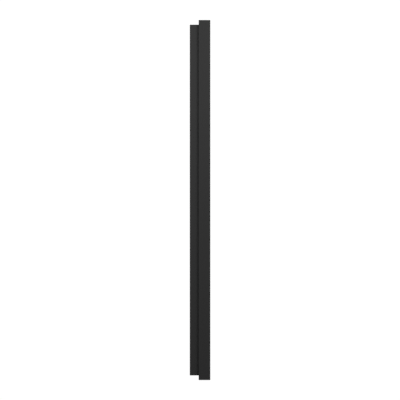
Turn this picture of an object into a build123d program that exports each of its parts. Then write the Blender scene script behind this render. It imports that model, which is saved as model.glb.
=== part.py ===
from build123d import *

import math
import os

# Slim linear electric fireplace: a shallow steel chassis on a wall rail, behind a lift-off surround.
# Millimetres, +X to the viewer's right, +Z up, and the front faces -Y.
# The origin is the middle of the chassis's back face, which lies against the wall.

# Casing
frame_width = 1727.0
frame_height = 460.0
frame_depth = 56.0
frame_sheet = 1.2
frame_lip = 8.0
frame_corner = 2.0
frame_overhang = 21.5
frame_overlap = 30.0
chassis_step = 42.6
chassis_sheet = 1.0
chassis_corner = 2.0

# Window and glass
side_border = 48.0
window_corner = 3.0
glass_thickness = 4.0
glass_margin = 12.0
gasket_thickness = 0.8
clip_sheet = 1.0
clip_width = 22.0
clip_foot = 10.0
clip_grip = 5.0
clip_end_margin = 24.0
clip_outlet_margin = 60.0

# Firebox behind the glass
liner_sheet = 1.0
liner_margin = 4.0
liner_front_gap = 3.0
liner_tab_height = 200.0
liner_tab_depth = 15.0
liner_screw_pitch = 120.0
screen_thickness = 3.0
screen_front = 50.0
channel_width = 7.0
channel_height = 8.0
channel_base = 2.0
tray_sheet = 2.0
tray_height = 12.0
tray_front_gap = 1.0
tray_screen_gap = 1.5
bed_end_gap = 6.0
bed_rear_base = 9.0
bed_front_base = 5.0
bed_edge_gap = 1.0
lump_width = 30.0
lump_height = 8.0
log_radius = 9.5
log_length = 250.0
log_count = 5
log_back_gap = 1.0
log_sink = 4.0
log_taper = 0.86
stick_radius = 4.5
stick_length = 190.0
stick_tilt = 17.0
stick_drop = 0.2
stick_taper = 0.7

# Flame projector behind the screen
stencil_sheet = 0.8
stencil_gap = 4.0
stencil_top = 110.0
stencil_foot = 14.0
flame_base = 22.0
flame_width = 46.0
flame_pitch = 78.0
flame_height = 150.0
reflector_sheet = 0.6
reflector_gap = 4.0
rotor_gap = 1.8
rotor_height = 3.0
rotor_shaft_radius = 2.0
petal_radius = 12.0
petal_length = 22.0
petal_pitch = 34.0
petal_sheet = 0.5
petal_turn = 67.0
rotor_end_gap = 26.0
rotor_engagement = 7.0
rotor_motor_radius = 17.0
rotor_motor_length = 16.0
rotor_boss_radius = 5.0
rotor_boss_length = 4.0
bracket_sheet = 1.2
bush_radius = 5.0
bush_length = 16.0
bush_wall = 3.0
led_board_thickness = 1.6
flame_board_height = 12.0
flame_board_drop = 4.0
ember_board_width = 16.0
led_size = 3.5
led_height = 0.8
led_pitch = 40.0

# Fan heater above the firebox
fan_gap = 1.45
wheel_depth = 24.0
wheel_radius = 14.0
wheel_length = 360.0
wheel_blades = 16
blade_sheet = 0.8
blade_depth = 4.0
disc_sheet = 1.2
wheel_end_gap = 3.0
scroll_gap = 3.0
scroll_sheet = 0.8
wheel_shaft_radius = 2.0
blower_motor_radius = 15.0
blower_motor_length = 30.0
blower_boss_length = 6.0
end_plate_sheet = 1.2
outlet_width = 560.0
outlet_height = 22.0
outlet_gap = 1.25
duct_start = 48.0
duct_end_gap = 2.5
duct_sheet = 0.8
heater_depth = 14.0
heater_side_gap = 22.2
heater_start_gap = 6.0
heater_bar = 3.0
fin_pitch = 5.0
fin_sheet = 0.6
heater_cap_length = 10.0
cutout_radius = 7.0
cutout_height = 1.6
cutout_tag = 4.0
grille_depth = 6.0
grille_rim = 3.0
grille_blades = 3
grille_blade_sheet = 1.4
grille_blade_tilt = 35.0
grille_posts = 4
grille_post_width = 2.0

# Controls on the surround
fascia_length = 190.0
fascia_height = 24.0
fascia_margin = 5.0
fascia_sheet = 2.5
fascia_recess = 0.6
fascia_corner = 4.0
fascia_right_inset = 50.0
fascia_centre_drop = 26.0
button_count = 5
button_size = 14.0
button_corner = 3.0
button_pitch = 27.0
button_proud = 0.4
button_travel = 1.2
button_clearance = 0.25
button_flange = 1.5
button_flange_thickness = 1.0
stem_gap = 0.3
switch_size = 6.0
switch_height = 3.5
lens_radius = 4.0
button_board_thickness = 1.6
board_post_radius = 2.5
rocker_length = 19.0
rocker_width = 13.0
rocker_bezel = 1.5
rocker_rim = 1.5
rocker_body_depth = 14.0
rocker_wall = 1.5
rocker_swing = 20.0
rocker_radius = 11.0
rocker_pin_radius = 1.5
rocker_clearance = 0.4
rocker_from_end = 60.0
intake_slot_length = 26.0
intake_slot_width = 4.0
intake_pitch = 36.0
intake_half_run = 540.0

# Surround hooks
hook_sheet = 2.0
hook_width = 22.0
hook_engagement = 9.0
hook_rise = 16.0
hook_height_offset = 120.0
hook_inset = 15.4
hook_pin_radius = 3.0
hook_pin_head = 5.0
hook_pin_head_length = 2.0
hook_wall_gap = 4.0
hook_slack = 1.0

# Wall rail
rail_length = 700.0
rail_sheet = 1.5
rail_base_height = 40.0
rail_roof_gap = 6.0
rail_lip = 12.0
rail_slot = 3.6
rail_top_gap = 3.0
rail_screw_radius = 3.25
rail_screw_spacing_x = 500.0
rail_screw_spacing_z = 24.0
hanger_base_height = 24.0
pocket_depth = 8.0
pocket_margin = 4.0
unit_lift = 13.5
rivet_radius = 2.0
rivet_head_radius = 3.5
rivet_head_height = 1.1
rivet_count = 5
bead_depth = 1.2
bead_height = 18.0
bead_count = 3
bead_end_margin = 110.0
bead_bottom_margin = 70.0
bead_pitch = 62.0

# Electrics in the bottom of the chassis
board_length = 190.0
board_width = 28.0
board_thickness = 1.6
board_x = 420.0
board_standoff = 5.0
standoff_radius = 3.0
board_inset = 5.0
relay_length = 19.0
relay_width = 15.0
relay_height = 13.0
transformer_length = 30.0
transformer_width = 24.0
transformer_height = 15.0
capacitor_radius = 5.0
capacitor_height = 14.0
terminal_length = 36.0
terminal_width = 18.0
terminal_height = 15.0
terminal_bore = 2.0
terminal_gap = 112.0
gland_gap = 26.0
gland_radius = 11.0
gland_outside = 10.0
gland_inside = 3.0
gland_thread_radius = 8.0
gland_bore_radius = 4.2
gland_nut_height = 5.0

# Fasteners and fits
screw_radius = 1.75
screw_head_radius = 3.5
screw_head_height = 2.0
screw_length = 5.0
hole_clearance = 0.1
running_clearance = 0.05
soft_clearance = 0.3
slip_clearance = 0.2

# Places worked out from the sizes above
chassis_half_x = frame_width / 2 - frame_overhang
chassis_half_z = frame_height / 2 - frame_overhang
inner_half_x = chassis_half_x - chassis_sheet
inner_half_z = chassis_half_z - chassis_sheet
front_y = -(chassis_step + frame_depth)
frame_back_y = -chassis_step
chassis_front_y = -(chassis_step + frame_overlap)
frame_inner_y = front_y + frame_sheet
frame_inner_half_x = frame_width / 2 - frame_sheet
frame_inner_half_z = frame_height / 2 - frame_sheet
window_half_x = frame_width / 2 - side_border
fan_band = 2 * (wheel_radius + scroll_gap + scroll_sheet + fan_gap)
rail_border = frame_overhang + chassis_sheet + fan_band + liner_sheet + liner_margin
window_half_z = frame_height / 2 - rail_border
glass_front_y = frame_inner_y + gasket_thickness
glass_back_y = glass_front_y + glass_thickness
glass_half_x = window_half_x + glass_margin
glass_half_z = window_half_z + glass_margin
liner_half_x = window_half_x + liner_margin
liner_half_z = window_half_z + liner_margin
liner_front_y = glass_back_y + liner_front_gap
liner_top_z = liner_half_z + liner_sheet
screen_front_y = -screen_front
screen_back_y = screen_front_y + screen_thickness
liner_back_y = screen_back_y + (channel_width - screen_thickness) / 2
tray_front_y = liner_front_y + tray_front_gap
tray_back_y = screen_front_y - (channel_width - screen_thickness) / 2 - tray_screen_gap
tray_top_z = -liner_half_z + tray_height
bed_half_x = liner_half_x - bed_end_gap
log_y = tray_back_y - bed_edge_gap - log_back_gap - log_radius
back_inner_y = -chassis_sheet
pocket_floor_y = -pocket_depth
pocket_half_x = rail_length / 2 + pocket_margin
pocket_top_z = liner_top_z - rail_roof_gap
hanger_top_z = pocket_top_z - pocket_margin
hanger_shelf_z = hanger_top_z - hanger_base_height
rail_top_z = hanger_shelf_z - rail_top_gap - rail_lip
rail_bottom = rail_top_z - rail_base_height
rail_lip_back_y = -rail_slot
rail_lip_front_y = rail_lip_back_y - rail_sheet
pocket_bottom_z = rail_bottom - unit_lift - pocket_margin
band_mid_z = (liner_top_z + inner_half_z) / 2
wheel_y = -wheel_depth
wheel_z = band_mid_z
outlet_z = (glass_half_z + outlet_gap, glass_half_z + outlet_gap + outlet_height)
outlet_mid_z = (outlet_z[0] + outlet_z[1]) / 2
grille_back_y = front_y + grille_depth
duct_front_y = grille_back_y + duct_end_gap
stencil_front_y = liner_back_y + stencil_gap
stencil_back_y = stencil_front_y + stencil_sheet
rotor_y = stencil_back_y + led_board_thickness + led_height + rotor_gap + petal_radius
rotor_z = -liner_half_z + rotor_height
rotor_end_x = inner_half_x - rotor_motor_length - rotor_end_gap
stencil_half_x = rotor_end_x - rotor_boss_length - bracket_sheet
fascia_x = window_half_x - fascia_right_inset - fascia_length / 2
fascia_z = -frame_height / 2 + fascia_centre_drop
fascia_front_y = front_y + fascia_recess
fascia_back_y = frame_inner_y + fascia_sheet
button_front_y = front_y + fascia_recess - button_proud
button_back_y = fascia_back_y + slip_clearance + button_flange_thickness
switch_front_y = button_back_y + button_travel + stem_gap
button_board_y = switch_front_y + switch_height
hook_plate_x = chassis_half_x + hook_wall_gap
hook_z_places = (-hook_height_offset, hook_height_offset)
rocker_x = frame_width / 2 - rocker_from_end
rocker_y = (frame_inner_y + chassis_front_y) / 2
floor_z = -inner_half_z
hook_y = frame_back_y - hook_inset
terminal_x = board_x + board_length / 2 + terminal_gap + terminal_length / 2
gland_x = terminal_x + terminal_length / 2 + gland_gap + gland_radius


def around(half):
    """Pair of limits the same distance either side of zero."""
    return (-half, half)


def near(middle, half):
    """Pair of limits the same distance either side of a place."""
    return (middle - half, middle + half)


def block(x, y, z):
    """Box between the (low, high) pairs along X, Y and Z."""
    limits = [sorted(pair) for pair in (x, y, z)]
    centre = [(low + high) / 2 for low, high in limits]
    return Pos(*centre) * Box(*[high - low for low, high in limits])


def rod_x(radius, x, y, z):
    """Round bar along X between the pair x, on the line through (y, z)."""
    low, high = sorted(x)
    return Pos((low + high) / 2, y, z) * Rot(0, 90, 0) * Cylinder(radius, high - low)


def rod_y(radius, x, y, z):
    """Round bar along Y between the pair y, on the line through (x, z)."""
    low, high = sorted(y)
    return Pos(x, (low + high) / 2, z) * Rot(90, 0, 0) * Cylinder(radius, high - low)


def rod_z(radius, x, y, z):
    """Round bar along Z between the pair z, on the line through (x, y)."""
    low, high = sorted(z)
    return Pos(x, y, (low + high) / 2) * Cylinder(radius, high - low)


def section_x(points, x):
    """Prism along X between the pair x whose outline is a list of (y, z) points."""
    face = make_face(Polyline(*points, close=True))
    return extrude(Plane.YZ.offset(x[0]) * face, amount=x[1] - x[0])


def slab_y(sketch, y):
    """Slab between the pair y whose outline is a sketch drawn in X and Z."""
    low, high = sorted(y)
    return extrude(Plane.XZ.offset(-high) * sketch, amount=high - low)


def round_box(x, y, z, radius, open_face):
    """Box with its edges along Y rounded, and the edges round its closed end along Y rounded too."""
    body = block(x, y, z)
    closed = body.faces().sort_by(Axis.Y)[0 if open_face > 0 else -1]
    return fillet(body.edges().filter_by(Axis.Y) + closed.edges(), radius)


def pan(x_half, y, z_half, sheet, radius, open_face):
    """Sheet-metal pan, open towards +Y or -Y."""
    y_low, y_high = sorted(y)
    outer = round_box(around(x_half), (y_low, y_high), around(z_half), radius, open_face)
    hollow_y = (y_low + sheet, y_high + sheet) if open_face > 0 else (y_low - sheet, y_high - sheet)
    inner_radius = max(radius - sheet, radius / 4)
    inner = round_box(around(x_half - sheet), hollow_y, around(z_half - sheet), inner_radius, open_face)
    return outer - inner


def spread(half, count):
    """Evenly spaced places from -half to +half."""
    if count < 2:
        return [0.0]
    return [-half + 2 * half * i / (count - 1) for i in range(count)]


def screw(x, y, z, direction):
    """Pan-head screw whose head bears at (x, y, z) and whose shank runs along direction."""
    shank = Pos(0, 0, screw_length / 2) * Cylinder(screw_radius, screw_length)
    head = Pos(0, 0, -screw_head_height / 2) * Cylinder(screw_head_radius, screw_head_height)
    head = fillet(head.faces().sort_by(Axis.Z)[0].edges(), screw_head_height * 0.4)
    return Plane((x, y, z), z_dir=direction).location * (shank + head)


# Chassis


def liner_screw_places():
    """Side-wall places of the screws that hold the firebox liner: (side, y, z)."""
    y = chassis_front_y + liner_tab_depth / 2
    return [(side, y, z) for side in (-1, 1) for z in around(liner_screw_pitch / 2)]


def hook_pin_places():
    """Side-wall places of the pins that carry the surround: (side, y, z)."""
    return [(side, hook_y, z) for side in (-1, 1) for z in hook_z_places]


def rivet_places():
    """Rivets that hold the hanger to the pocket floor: x along the rail, at one height."""
    z = (hanger_shelf_z + rail_sheet + hanger_top_z) / 2
    return [(x, z) for x in spread(rail_length * 0.44, rivet_count)]


def bead_places():
    """Heights of the stiffening beads pressed into the back wall."""
    first = -chassis_half_z + bead_bottom_margin
    return [first + bead_pitch * i for i in range(bead_count)]


def rear_chassis():
    """Folded pan with a rail pocket and stiffening beads in its back."""
    body = pan(chassis_half_x, (chassis_front_y, 0), chassis_half_z, chassis_sheet, chassis_corner, -1)
    pocket_z = (pocket_bottom_z, pocket_top_z)
    wall_z = (pocket_bottom_z - chassis_sheet, pocket_top_z + chassis_sheet)
    wall_y = (pocket_floor_y - chassis_sheet, back_inner_y)
    body += block(around(pocket_half_x + chassis_sheet), wall_y, wall_z)
    body -= block(around(pocket_half_x), (pocket_floor_y, chassis_sheet), pocket_z)
    bead_length = 2 * (chassis_half_x - bead_end_margin)
    for z in bead_places():
        raised = SlotOverall(bead_length + 2 * chassis_sheet, bead_height + 2 * chassis_sheet)
        pressed = SlotOverall(bead_length, bead_height)
        body += slab_y(Pos(0, z) * raised, (-bead_depth - chassis_sheet, back_inner_y))
        body -= slab_y(Pos(0, z) * pressed, (-bead_depth, chassis_sheet))
    holes = []
    for side, y, z in liner_screw_places():
        wall = (side * (chassis_half_x - 2 * chassis_sheet), side * (chassis_half_x + chassis_sheet))
        holes.append(rod_x(screw_radius + hole_clearance, wall, y, z))
    for side, y, z in hook_pin_places():
        wall = (side * (chassis_half_x - 2 * chassis_sheet), side * (chassis_half_x + chassis_sheet))
        holes.append(rod_x(hook_pin_radius, wall, y, z))
    for x, z in rivet_places():
        holes.append(rod_y(rivet_radius, x, (pocket_floor_y - 2 * chassis_sheet, pocket_floor_y + 1), z))
    gland_z = (-chassis_half_z - 1, floor_z + 1)
    holes.append(rod_z(gland_thread_radius + hole_clearance, gland_x, rotor_y, gland_z))
    return body - holes


def hook_pins():
    """Shouldered pins pressed through the chassis side walls."""
    pins = []
    for side, y, z in hook_pin_places():
        head_x = hook_plate_x + hook_sheet + hook_slack
        pin = rod_x(hook_pin_radius, (side * inner_half_x, side * (head_x + hook_pin_head_length)), y, z)
        pin += rod_x(hook_pin_head, (side * head_x, side * (head_x + hook_pin_head_length)), y, z)
        pins.append(pin)
    return Compound(children=pins)


def hanger_rail():
    """Z-section on the chassis whose lip drops behind the wall rail's lip."""
    lip_back_y = -(rail_slot - rail_sheet) / 2
    lip_front_y = lip_back_y - rail_sheet
    outline = [
        (lip_back_y, rail_top_z),
        (lip_back_y, hanger_shelf_z + rail_sheet),
        (pocket_floor_y + rail_sheet, hanger_shelf_z + rail_sheet),
        (pocket_floor_y + rail_sheet, hanger_top_z),
        (pocket_floor_y, hanger_top_z),
        (pocket_floor_y, hanger_shelf_z),
        (lip_front_y, hanger_shelf_z),
        (lip_front_y, rail_top_z),
    ]
    body = section_x(outline, around(rail_length / 2))
    base_y = (pocket_floor_y - 1, pocket_floor_y + 2 * rail_sheet)
    return body - [rod_y(rivet_radius, x, base_y, z) for x, z in rivet_places()]


def hanger_rivets():
    """Rivets through the hanger and the pocket floor."""
    rivets = []
    for x, z in rivet_places():
        outside_y = pocket_floor_y + rail_sheet
        inside_y = pocket_floor_y - chassis_sheet
        rivet = rod_y(rivet_radius, x, (inside_y, outside_y), z)
        rivet += rod_y(rivet_head_radius, x, (outside_y, outside_y + rivet_head_height), z)
        rivet += rod_y(rivet_head_radius, x, (inside_y - rivet_head_height, inside_y), z)
        rivets.append(rivet)
    return Compound(children=rivets)


def wall_rail():
    """Z-section rail that is screwed to the wall and carries the unit."""
    outline = [
        (0, rail_bottom),
        (0, rail_top_z),
        (rail_lip_back_y, rail_top_z),
        (rail_lip_back_y, rail_top_z + rail_lip),
        (rail_lip_front_y, rail_top_z + rail_lip),
        (rail_lip_front_y, rail_top_z - rail_sheet),
        (-rail_sheet, rail_top_z - rail_sheet),
        (-rail_sheet, rail_bottom),
    ]
    body = section_x(outline, around(rail_length / 2))
    mid_z = rail_bottom + (rail_base_height - rail_sheet) / 2
    holes = [
        rod_y(rail_screw_radius, x, (-2 * rail_sheet, rail_sheet), mid_z + dz)
        for x in around(rail_screw_spacing_x / 2)
        for dz in around(rail_screw_spacing_z / 2)
    ]
    return body - holes


# Firebox


def firebox_liner():
    """Folded sheet frame that forms the visible sides of the firebox, with tabs to the chassis walls."""
    depth = (liner_front_y, liner_back_y)
    body = block(around(liner_half_x + liner_sheet), depth, around(liner_top_z))
    body -= block(around(liner_half_x), (liner_front_y - 1, liner_back_y + 1), around(liner_half_z))
    tab_z = around(liner_tab_height / 2)
    for side in (-1, 1):
        flange_y = (chassis_front_y, chassis_front_y + liner_sheet)
        body += block((side * (liner_half_x + liner_sheet), side * inner_half_x), flange_y, tab_z)
        tab_x = (side * (inner_half_x - liner_sheet), side * inner_half_x)
        body += block(tab_x, (chassis_front_y, chassis_front_y + liner_tab_depth), tab_z)
    holes = []
    for side, y, z in liner_screw_places():
        wall = (side * (inner_half_x - 2 * liner_sheet), side * chassis_half_x)
        holes.append(rod_x(screw_radius + hole_clearance, wall, y, z))
    return body - holes


def liner_screws():
    """Screws through the chassis side walls into the liner tabs."""
    return [screw(side * chassis_half_x, y, z, (-side, 0, 0)) for side, y, z in liner_screw_places()]


def screen_channels():
    """Extruded channels along the liner's top and bottom that hold the flame screen."""
    channels = []
    mid_y = (screen_front_y + screen_back_y) / 2
    for side in (-1, 1):
        outer_z = (side * (liner_half_z - channel_height), side * liner_half_z)
        slot_z = (side * (liner_half_z - channel_height - 1), side * (liner_half_z - channel_base))
        slot_y = (screen_front_y - slip_clearance, screen_back_y + slip_clearance)
        channel = block(around(liner_half_x), near(mid_y, channel_width / 2), outer_z)
        channels.append(channel - block(around(liner_half_x + 1), slot_y, slot_z))
    return Compound(children=channels)


def flame_screen():
    """Frosted sheet that the flame light falls on."""
    half_z = liner_half_z - channel_base - slip_clearance
    return block(around(liner_half_x - slip_clearance), (screen_front_y, screen_back_y), around(half_z))


def ember_tray():
    """Translucent bridge over the ember lights."""
    y = (tray_front_y, tray_back_y)
    body = block(around(bed_half_x), y, (-liner_half_z, tray_top_z))
    hollow_y = (tray_front_y + tray_sheet, tray_back_y - tray_sheet)
    return body - block(around(bed_half_x + 1), hollow_y, (-liner_half_z - 1, tray_top_z - tray_sheet))


def lump_row(base, phase):
    """Outline of one row of coals: a run of arcs of uneven width and height over a flat base."""
    count = max(2, round(2 * bed_half_x / lump_width))
    share = [1 + 0.32 * math.sin(2.4 * i + phase) for i in range(count)]
    edges = [-bed_half_x]
    for part in share:
        edges.append(edges[-1] + 2 * bed_half_x * part / sum(share))
    valley = tray_top_z + base
    left, right = edges[0], edges[-1]
    outline = Polyline((right, valley), (right, tray_top_z), (left, tray_top_z), (left, valley))
    tops = Curve()
    for i in range(count):
        rise = lump_height * (0.75 + 0.25 * math.sin(1.7 * i + 2 * phase))
        middle = ((edges[i] + edges[i + 1]) / 2, valley + rise)
        tops += ThreePointArc((edges[i], valley), middle, (edges[i + 1], valley))
    return make_face(outline + tops)


def log_axes():
    """Logs along the bed: (middle point, unit direction)."""
    pitch = 2 * bed_half_x / log_count
    places = []
    for i in range(log_count):
        x = -bed_half_x + pitch * (i + 0.5) + (pitch - log_length) / 5 * math.sin(2.1 * i)
        tilt = math.radians(2.2 * math.sin(1.9 * i + 0.6))
        z = tray_top_z + bed_rear_base + lump_height + log_radius - log_sink
        places.append((Vector(x, log_y, z), Vector(math.cos(tilt), 0, math.sin(tilt))))
    return places


def stick_axes():
    """Thin branches that lean over the front of the logs: (middle point, unit direction)."""
    places = []
    for i, (centre, along) in enumerate(log_axes()):
        lean = math.radians(stick_tilt + 4 * math.sin(2.7 * i))
        heading = 1 if i % 2 else -1
        direction = Vector(heading * math.cos(lean), 0.04, math.sin(lean)).normalized()
        away = along.cross(direction).normalized()
        if away.Y > 0:
            away = away * -1
        place = -0.3 * heading
        touch = centre + along * (place * log_length)
        log_here = log_radius * (1 - (1 - log_taper) * (place + 0.5))
        stick_here = stick_radius * (1 - (1 - stick_taper) * stick_drop)
        reach = log_here + stick_here + soft_clearance
        middle = touch + away * reach + direction * (stick_length * (0.5 - stick_drop))
        places.append((middle, direction))
    return places


def round_piece(axis, length, radius, taper):
    """Tapered round of wood along an axis."""
    middle, direction = axis
    plane = Plane(middle, z_dir=direction)
    return plane.location * Cone(radius, radius * taper, length)


def fire_logs():
    """Logs of the log set, with worn ends."""
    logs = [round_piece(axis, log_length, log_radius, log_taper) for axis in log_axes()]
    ends = [log.edges().filter_by(GeomType.CIRCLE) for log in logs]
    return Compound(children=[chamfer(edges, log_radius * 0.16) for edges in ends])


def branches():
    """Thin branches of the log set."""
    sticks = [round_piece(axis, stick_length, stick_radius, stick_taper) for axis in stick_axes()]
    return Compound(children=sticks)


def notch(axis, length, radius, taper):
    """Seat for a tapered round of wood, a clearance larger all over."""
    grown = radius + soft_clearance
    return round_piece(axis, length + 2 * soft_clearance, grown, (radius * taper + soft_clearance) / grown)


def ember_bed():
    """Moulded bed of coals, in a high rear row and a low front row, notched for the log set."""
    middle_y = (tray_front_y + tray_back_y) / 2
    rear = slab_y(lump_row(bed_rear_base, 0.0), (middle_y, tray_back_y - bed_edge_gap))
    front = slab_y(lump_row(bed_front_base, 1.1), (tray_front_y + bed_edge_gap, middle_y))
    return rear + front - [
        notch(axis, log_length, log_radius, log_taper) for axis in log_axes()
    ] - [
        notch(axis, stick_length, stick_radius, stick_taper) for axis in stick_axes()
    ]


def ember_board():
    """Circuit board of the ember lights, on the liner floor."""
    middle_y = (tray_front_y + tray_back_y) / 2
    half = ember_board_width / 2
    z = (-liner_half_z, -liner_half_z + led_board_thickness)
    return block(around(bed_half_x - tray_sheet), (middle_y - half, middle_y + half), z)


def ember_leds():
    """Light chips on the ember board."""
    middle_y = (tray_front_y + tray_back_y) / 2
    base = -liner_half_z + led_board_thickness
    count = int(2 * bed_half_x / led_pitch)
    half = led_size / 2
    places = spread(bed_half_x - led_pitch / 2, count)
    return [block(near(x, half), near(middle_y, half), (base, base + led_height)) for x in places]


# Flame projector


def flame_outline(x, base, width, height, lean):
    """Closed outline of one flame tongue: two curves that meet in a leaning tip."""
    tip = (x + lean, base + height)
    left = Bezier(
        (x - width * 0.34, base),
        (x - width * 0.85, base + height * 0.42),
        (x - width * 0.05 + lean * 0.2, base + height * 0.55),
        tip,
    )
    right = Bezier(
        tip,
        (x + width * 0.14 + lean * 0.5, base + height * 0.5),
        (x + width * 0.85, base + height * 0.38),
        (x + width * 0.34, base),
    )
    foot = Line((x + width * 0.34, base), (x - width * 0.34, base))
    return make_face(Curve() + left + right + foot)


def flame_tongues():
    """Flame openings of the stencil, uneven in height and lean."""
    base = -liner_half_z + flame_base
    count = max(1, int((2 * stencil_half_x - flame_width) / flame_pitch))
    tongues = []
    for i, x in enumerate(spread(flame_pitch * (count - 1) / 2, count)):
        height = flame_height * (0.74 + 0.26 * math.sin(2.3 * i + 0.7))
        tongues.append(flame_outline(x, base, flame_width, height, flame_width * 0.42 * math.sin(1.6 * i)))
    return tongues


def flame_stencil():
    """Upright sheet with flame-shaped openings and a foot on the chassis floor."""
    plate = block(around(stencil_half_x), (stencil_front_y, stencil_back_y), (floor_z, stencil_top))
    foot_y = (stencil_front_y - stencil_foot, stencil_back_y)
    foot = block(around(stencil_half_x), foot_y, (floor_z, floor_z + stencil_sheet))
    return plate + foot - [slab_y(t, (stencil_front_y - 1, stencil_back_y + 1)) for t in flame_tongues()]


def back_reflector():
    """Amber reflector sheet that lies on the raised backs of the beads, below the rail pocket."""
    top = pocket_bottom_z - chassis_sheet - reflector_gap
    bead_y = -bead_depth - chassis_sheet
    return block(around(stencil_half_x), (bead_y - reflector_sheet, bead_y), (-liner_half_z, top))


def flame_board():
    """Circuit board of the flame lights, on the back of the stencil below its openings."""
    top = -liner_half_z + flame_base - flame_board_drop
    y = (stencil_back_y, stencil_back_y + led_board_thickness)
    return block(around(stencil_half_x - led_pitch / 2), y, (top - flame_board_height, top))


def flame_leds():
    """Light chips on the flame board, facing the rotors."""
    mid_z = -liner_half_z + flame_base - flame_board_drop - flame_board_height / 2
    base = stencil_back_y + led_board_thickness
    count = int(2 * stencil_half_x / led_pitch)
    half = led_size / 2
    places = spread(stencil_half_x - led_pitch, count)
    return [block(near(x, half), (base, base + led_height), near(mid_z, half)) for x in places]


def flame_rotor(side):
    """Shaft with pairs of mirror petals, turned a step further at each pair."""
    inner_x = bush_length / 2 - rotor_engagement
    outer_x = rotor_end_x + rotor_engagement
    shaft = rod_x(rotor_shaft_radius, (side * inner_x, side * outer_x), rotor_y, rotor_z)
    first = bush_length / 2 + petal_length
    last = rotor_end_x - rotor_boss_length - petal_length
    count = max(1, int((last - first) / petal_pitch) + 1)
    petals = []
    for i in range(count):
        x = side * (first + petal_pitch * i)
        blade = Box(petal_length, 2 * petal_radius, petal_sheet)
        petals.append(Pos(x, rotor_y, rotor_z) * Rot(petal_turn * i, 0, 0) * blade)
    return shaft + petals


def centre_bracket():
    """Upright bracket on the chassis floor that holds the rotors' shared bush."""
    half = bush_length / 2
    boss_radius = bush_radius + bush_wall
    body = block(around(half), near(rotor_y, boss_radius), (floor_z, rotor_z))
    body += rod_x(boss_radius, around(half), rotor_y, rotor_z)
    return body - rod_x(bush_radius, around(half + 1), rotor_y, rotor_z)


def centre_bush():
    """Plain bush for the inner ends of both rotors."""
    body = rod_x(bush_radius, around(bush_length / 2), rotor_y, rotor_z)
    return body - rod_x(rotor_shaft_radius + running_clearance, around(bush_length), rotor_y, rotor_z)


def motor_bracket(side):
    """Plate across the chassis that carries one rotor motor, with a foot on the chassis floor."""
    plate_x = (side * (rotor_end_x - bracket_sheet), side * rotor_end_x)
    half_y = rotor_motor_radius
    body = block(plate_x, (rotor_y - half_y, rotor_y + half_y), (floor_z, rotor_z + rotor_motor_radius))
    foot_x = (side * (rotor_end_x - bracket_sheet), side * (rotor_end_x + rotor_motor_length))
    body += block(foot_x, (rotor_y - half_y, rotor_y + half_y), (floor_z, floor_z + bracket_sheet))
    bore_x = (side * (rotor_end_x - 2 * bracket_sheet), side * (rotor_end_x + bracket_sheet))
    return body - rod_x(rotor_boss_radius + hole_clearance, bore_x, rotor_y, rotor_z)


def rotor_motor(side):
    """Small geared synchronous motor with a bored output boss."""
    can_x = (side * rotor_end_x, side * (rotor_end_x + rotor_motor_length))
    can = rod_x(rotor_motor_radius, can_x, rotor_y, rotor_z)
    can = fillet(can.edges().filter_by(GeomType.CIRCLE), rotor_motor_radius * 0.06)
    boss_x = (side * (rotor_end_x - rotor_boss_length), side * rotor_end_x)
    can += rod_x(rotor_boss_radius, boss_x, rotor_y, rotor_z)
    bore_end = rotor_end_x + rotor_engagement + slip_clearance
    bore_x = (side * (rotor_end_x - rotor_boss_length - 1), side * bore_end)
    return can - rod_x(rotor_shaft_radius + running_clearance, bore_x, rotor_y, rotor_z)


# Fan heater

housing_half_x = wheel_length / 2 + wheel_end_gap
scroll_inner = wheel_radius + scroll_gap
scroll_outer = scroll_inner + scroll_sheet
duct_start_y = -duct_start


def blower_wheel():
    """Cross-flow wheel: curved blades between discs, on stub shafts."""
    pieces = []
    blade_ring = wheel_radius - blade_depth / 2
    for i in range(wheel_blades):
        turn = 360 * i / wheel_blades
        blade = Rot(0, 0, 32) * Box(blade_depth, blade_sheet, wheel_length)
        upright = Rot(0, 0, turn) * Pos(blade_ring - blade_sheet, 0, 0) * blade
        pieces.append(Pos(0, wheel_y, wheel_z) * Rot(0, 90, 0) * upright)
    for x in spread(wheel_length / 2 - disc_sheet / 2, 4):
        pieces.append(rod_x(wheel_radius, (x - disc_sheet / 2, x + disc_sheet / 2), wheel_y, wheel_z))
    left_end = -(housing_half_x + end_plate_sheet + bush_length / 4)
    right_end = housing_half_x + end_plate_sheet + blower_boss_length
    for x in ((left_end, -wheel_length / 2), (wheel_length / 2, right_end)):
        pieces.append(rod_x(wheel_shaft_radius, x, wheel_y, wheel_z))
    return Part() + pieces


def blower_housing():
    """Scroll sheet round the back and top of the wheel, with the tongue under the outlet."""
    ring = Circle(scroll_outer) - Circle(scroll_inner)
    reach = 2 * scroll_outer
    keep = make_face(Polyline((0, 0), (reach, -reach * 0.8), (reach, reach), (0, reach), close=True))
    place = Plane.YZ.offset(-housing_half_x) * Pos(wheel_y, wheel_z)
    scroll = extrude(place * (ring & keep), amount=2 * housing_half_x)
    top_z = (wheel_z + scroll_inner, wheel_z + scroll_outer)
    scroll += block(around(housing_half_x), (duct_start_y, wheel_y), top_z)
    return scroll


def blower_tongue():
    """Lip under the outlet that splits the wheel's inflow from its outflow."""
    low = outlet_z[0] - duct_sheet
    nose_y = wheel_y - wheel_radius - scroll_gap
    y = (duct_start_y, min(nose_y, duct_start_y + 2 * duct_sheet + scroll_gap))
    body = block(around(housing_half_x), y, (low, low + duct_sheet))
    foot_y = (duct_start_y, duct_start_y + duct_sheet)
    return body + block(around(housing_half_x), foot_y, (liner_top_z, low + duct_sheet))


def blower_end_plate(side):
    """End plate between the liner's roof and the chassis's top wall, bored for the shaft."""
    x = (side * housing_half_x, side * (housing_half_x + end_plate_sheet))
    body = block(x, (duct_start_y, wheel_y + scroll_outer), (liner_top_z, inner_half_z))
    bore = bush_radius if side < 0 else blower_motor_radius * 0.5
    return body - rod_x(bore, (x[0] - side, x[1] + side), wheel_y, wheel_z)


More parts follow.
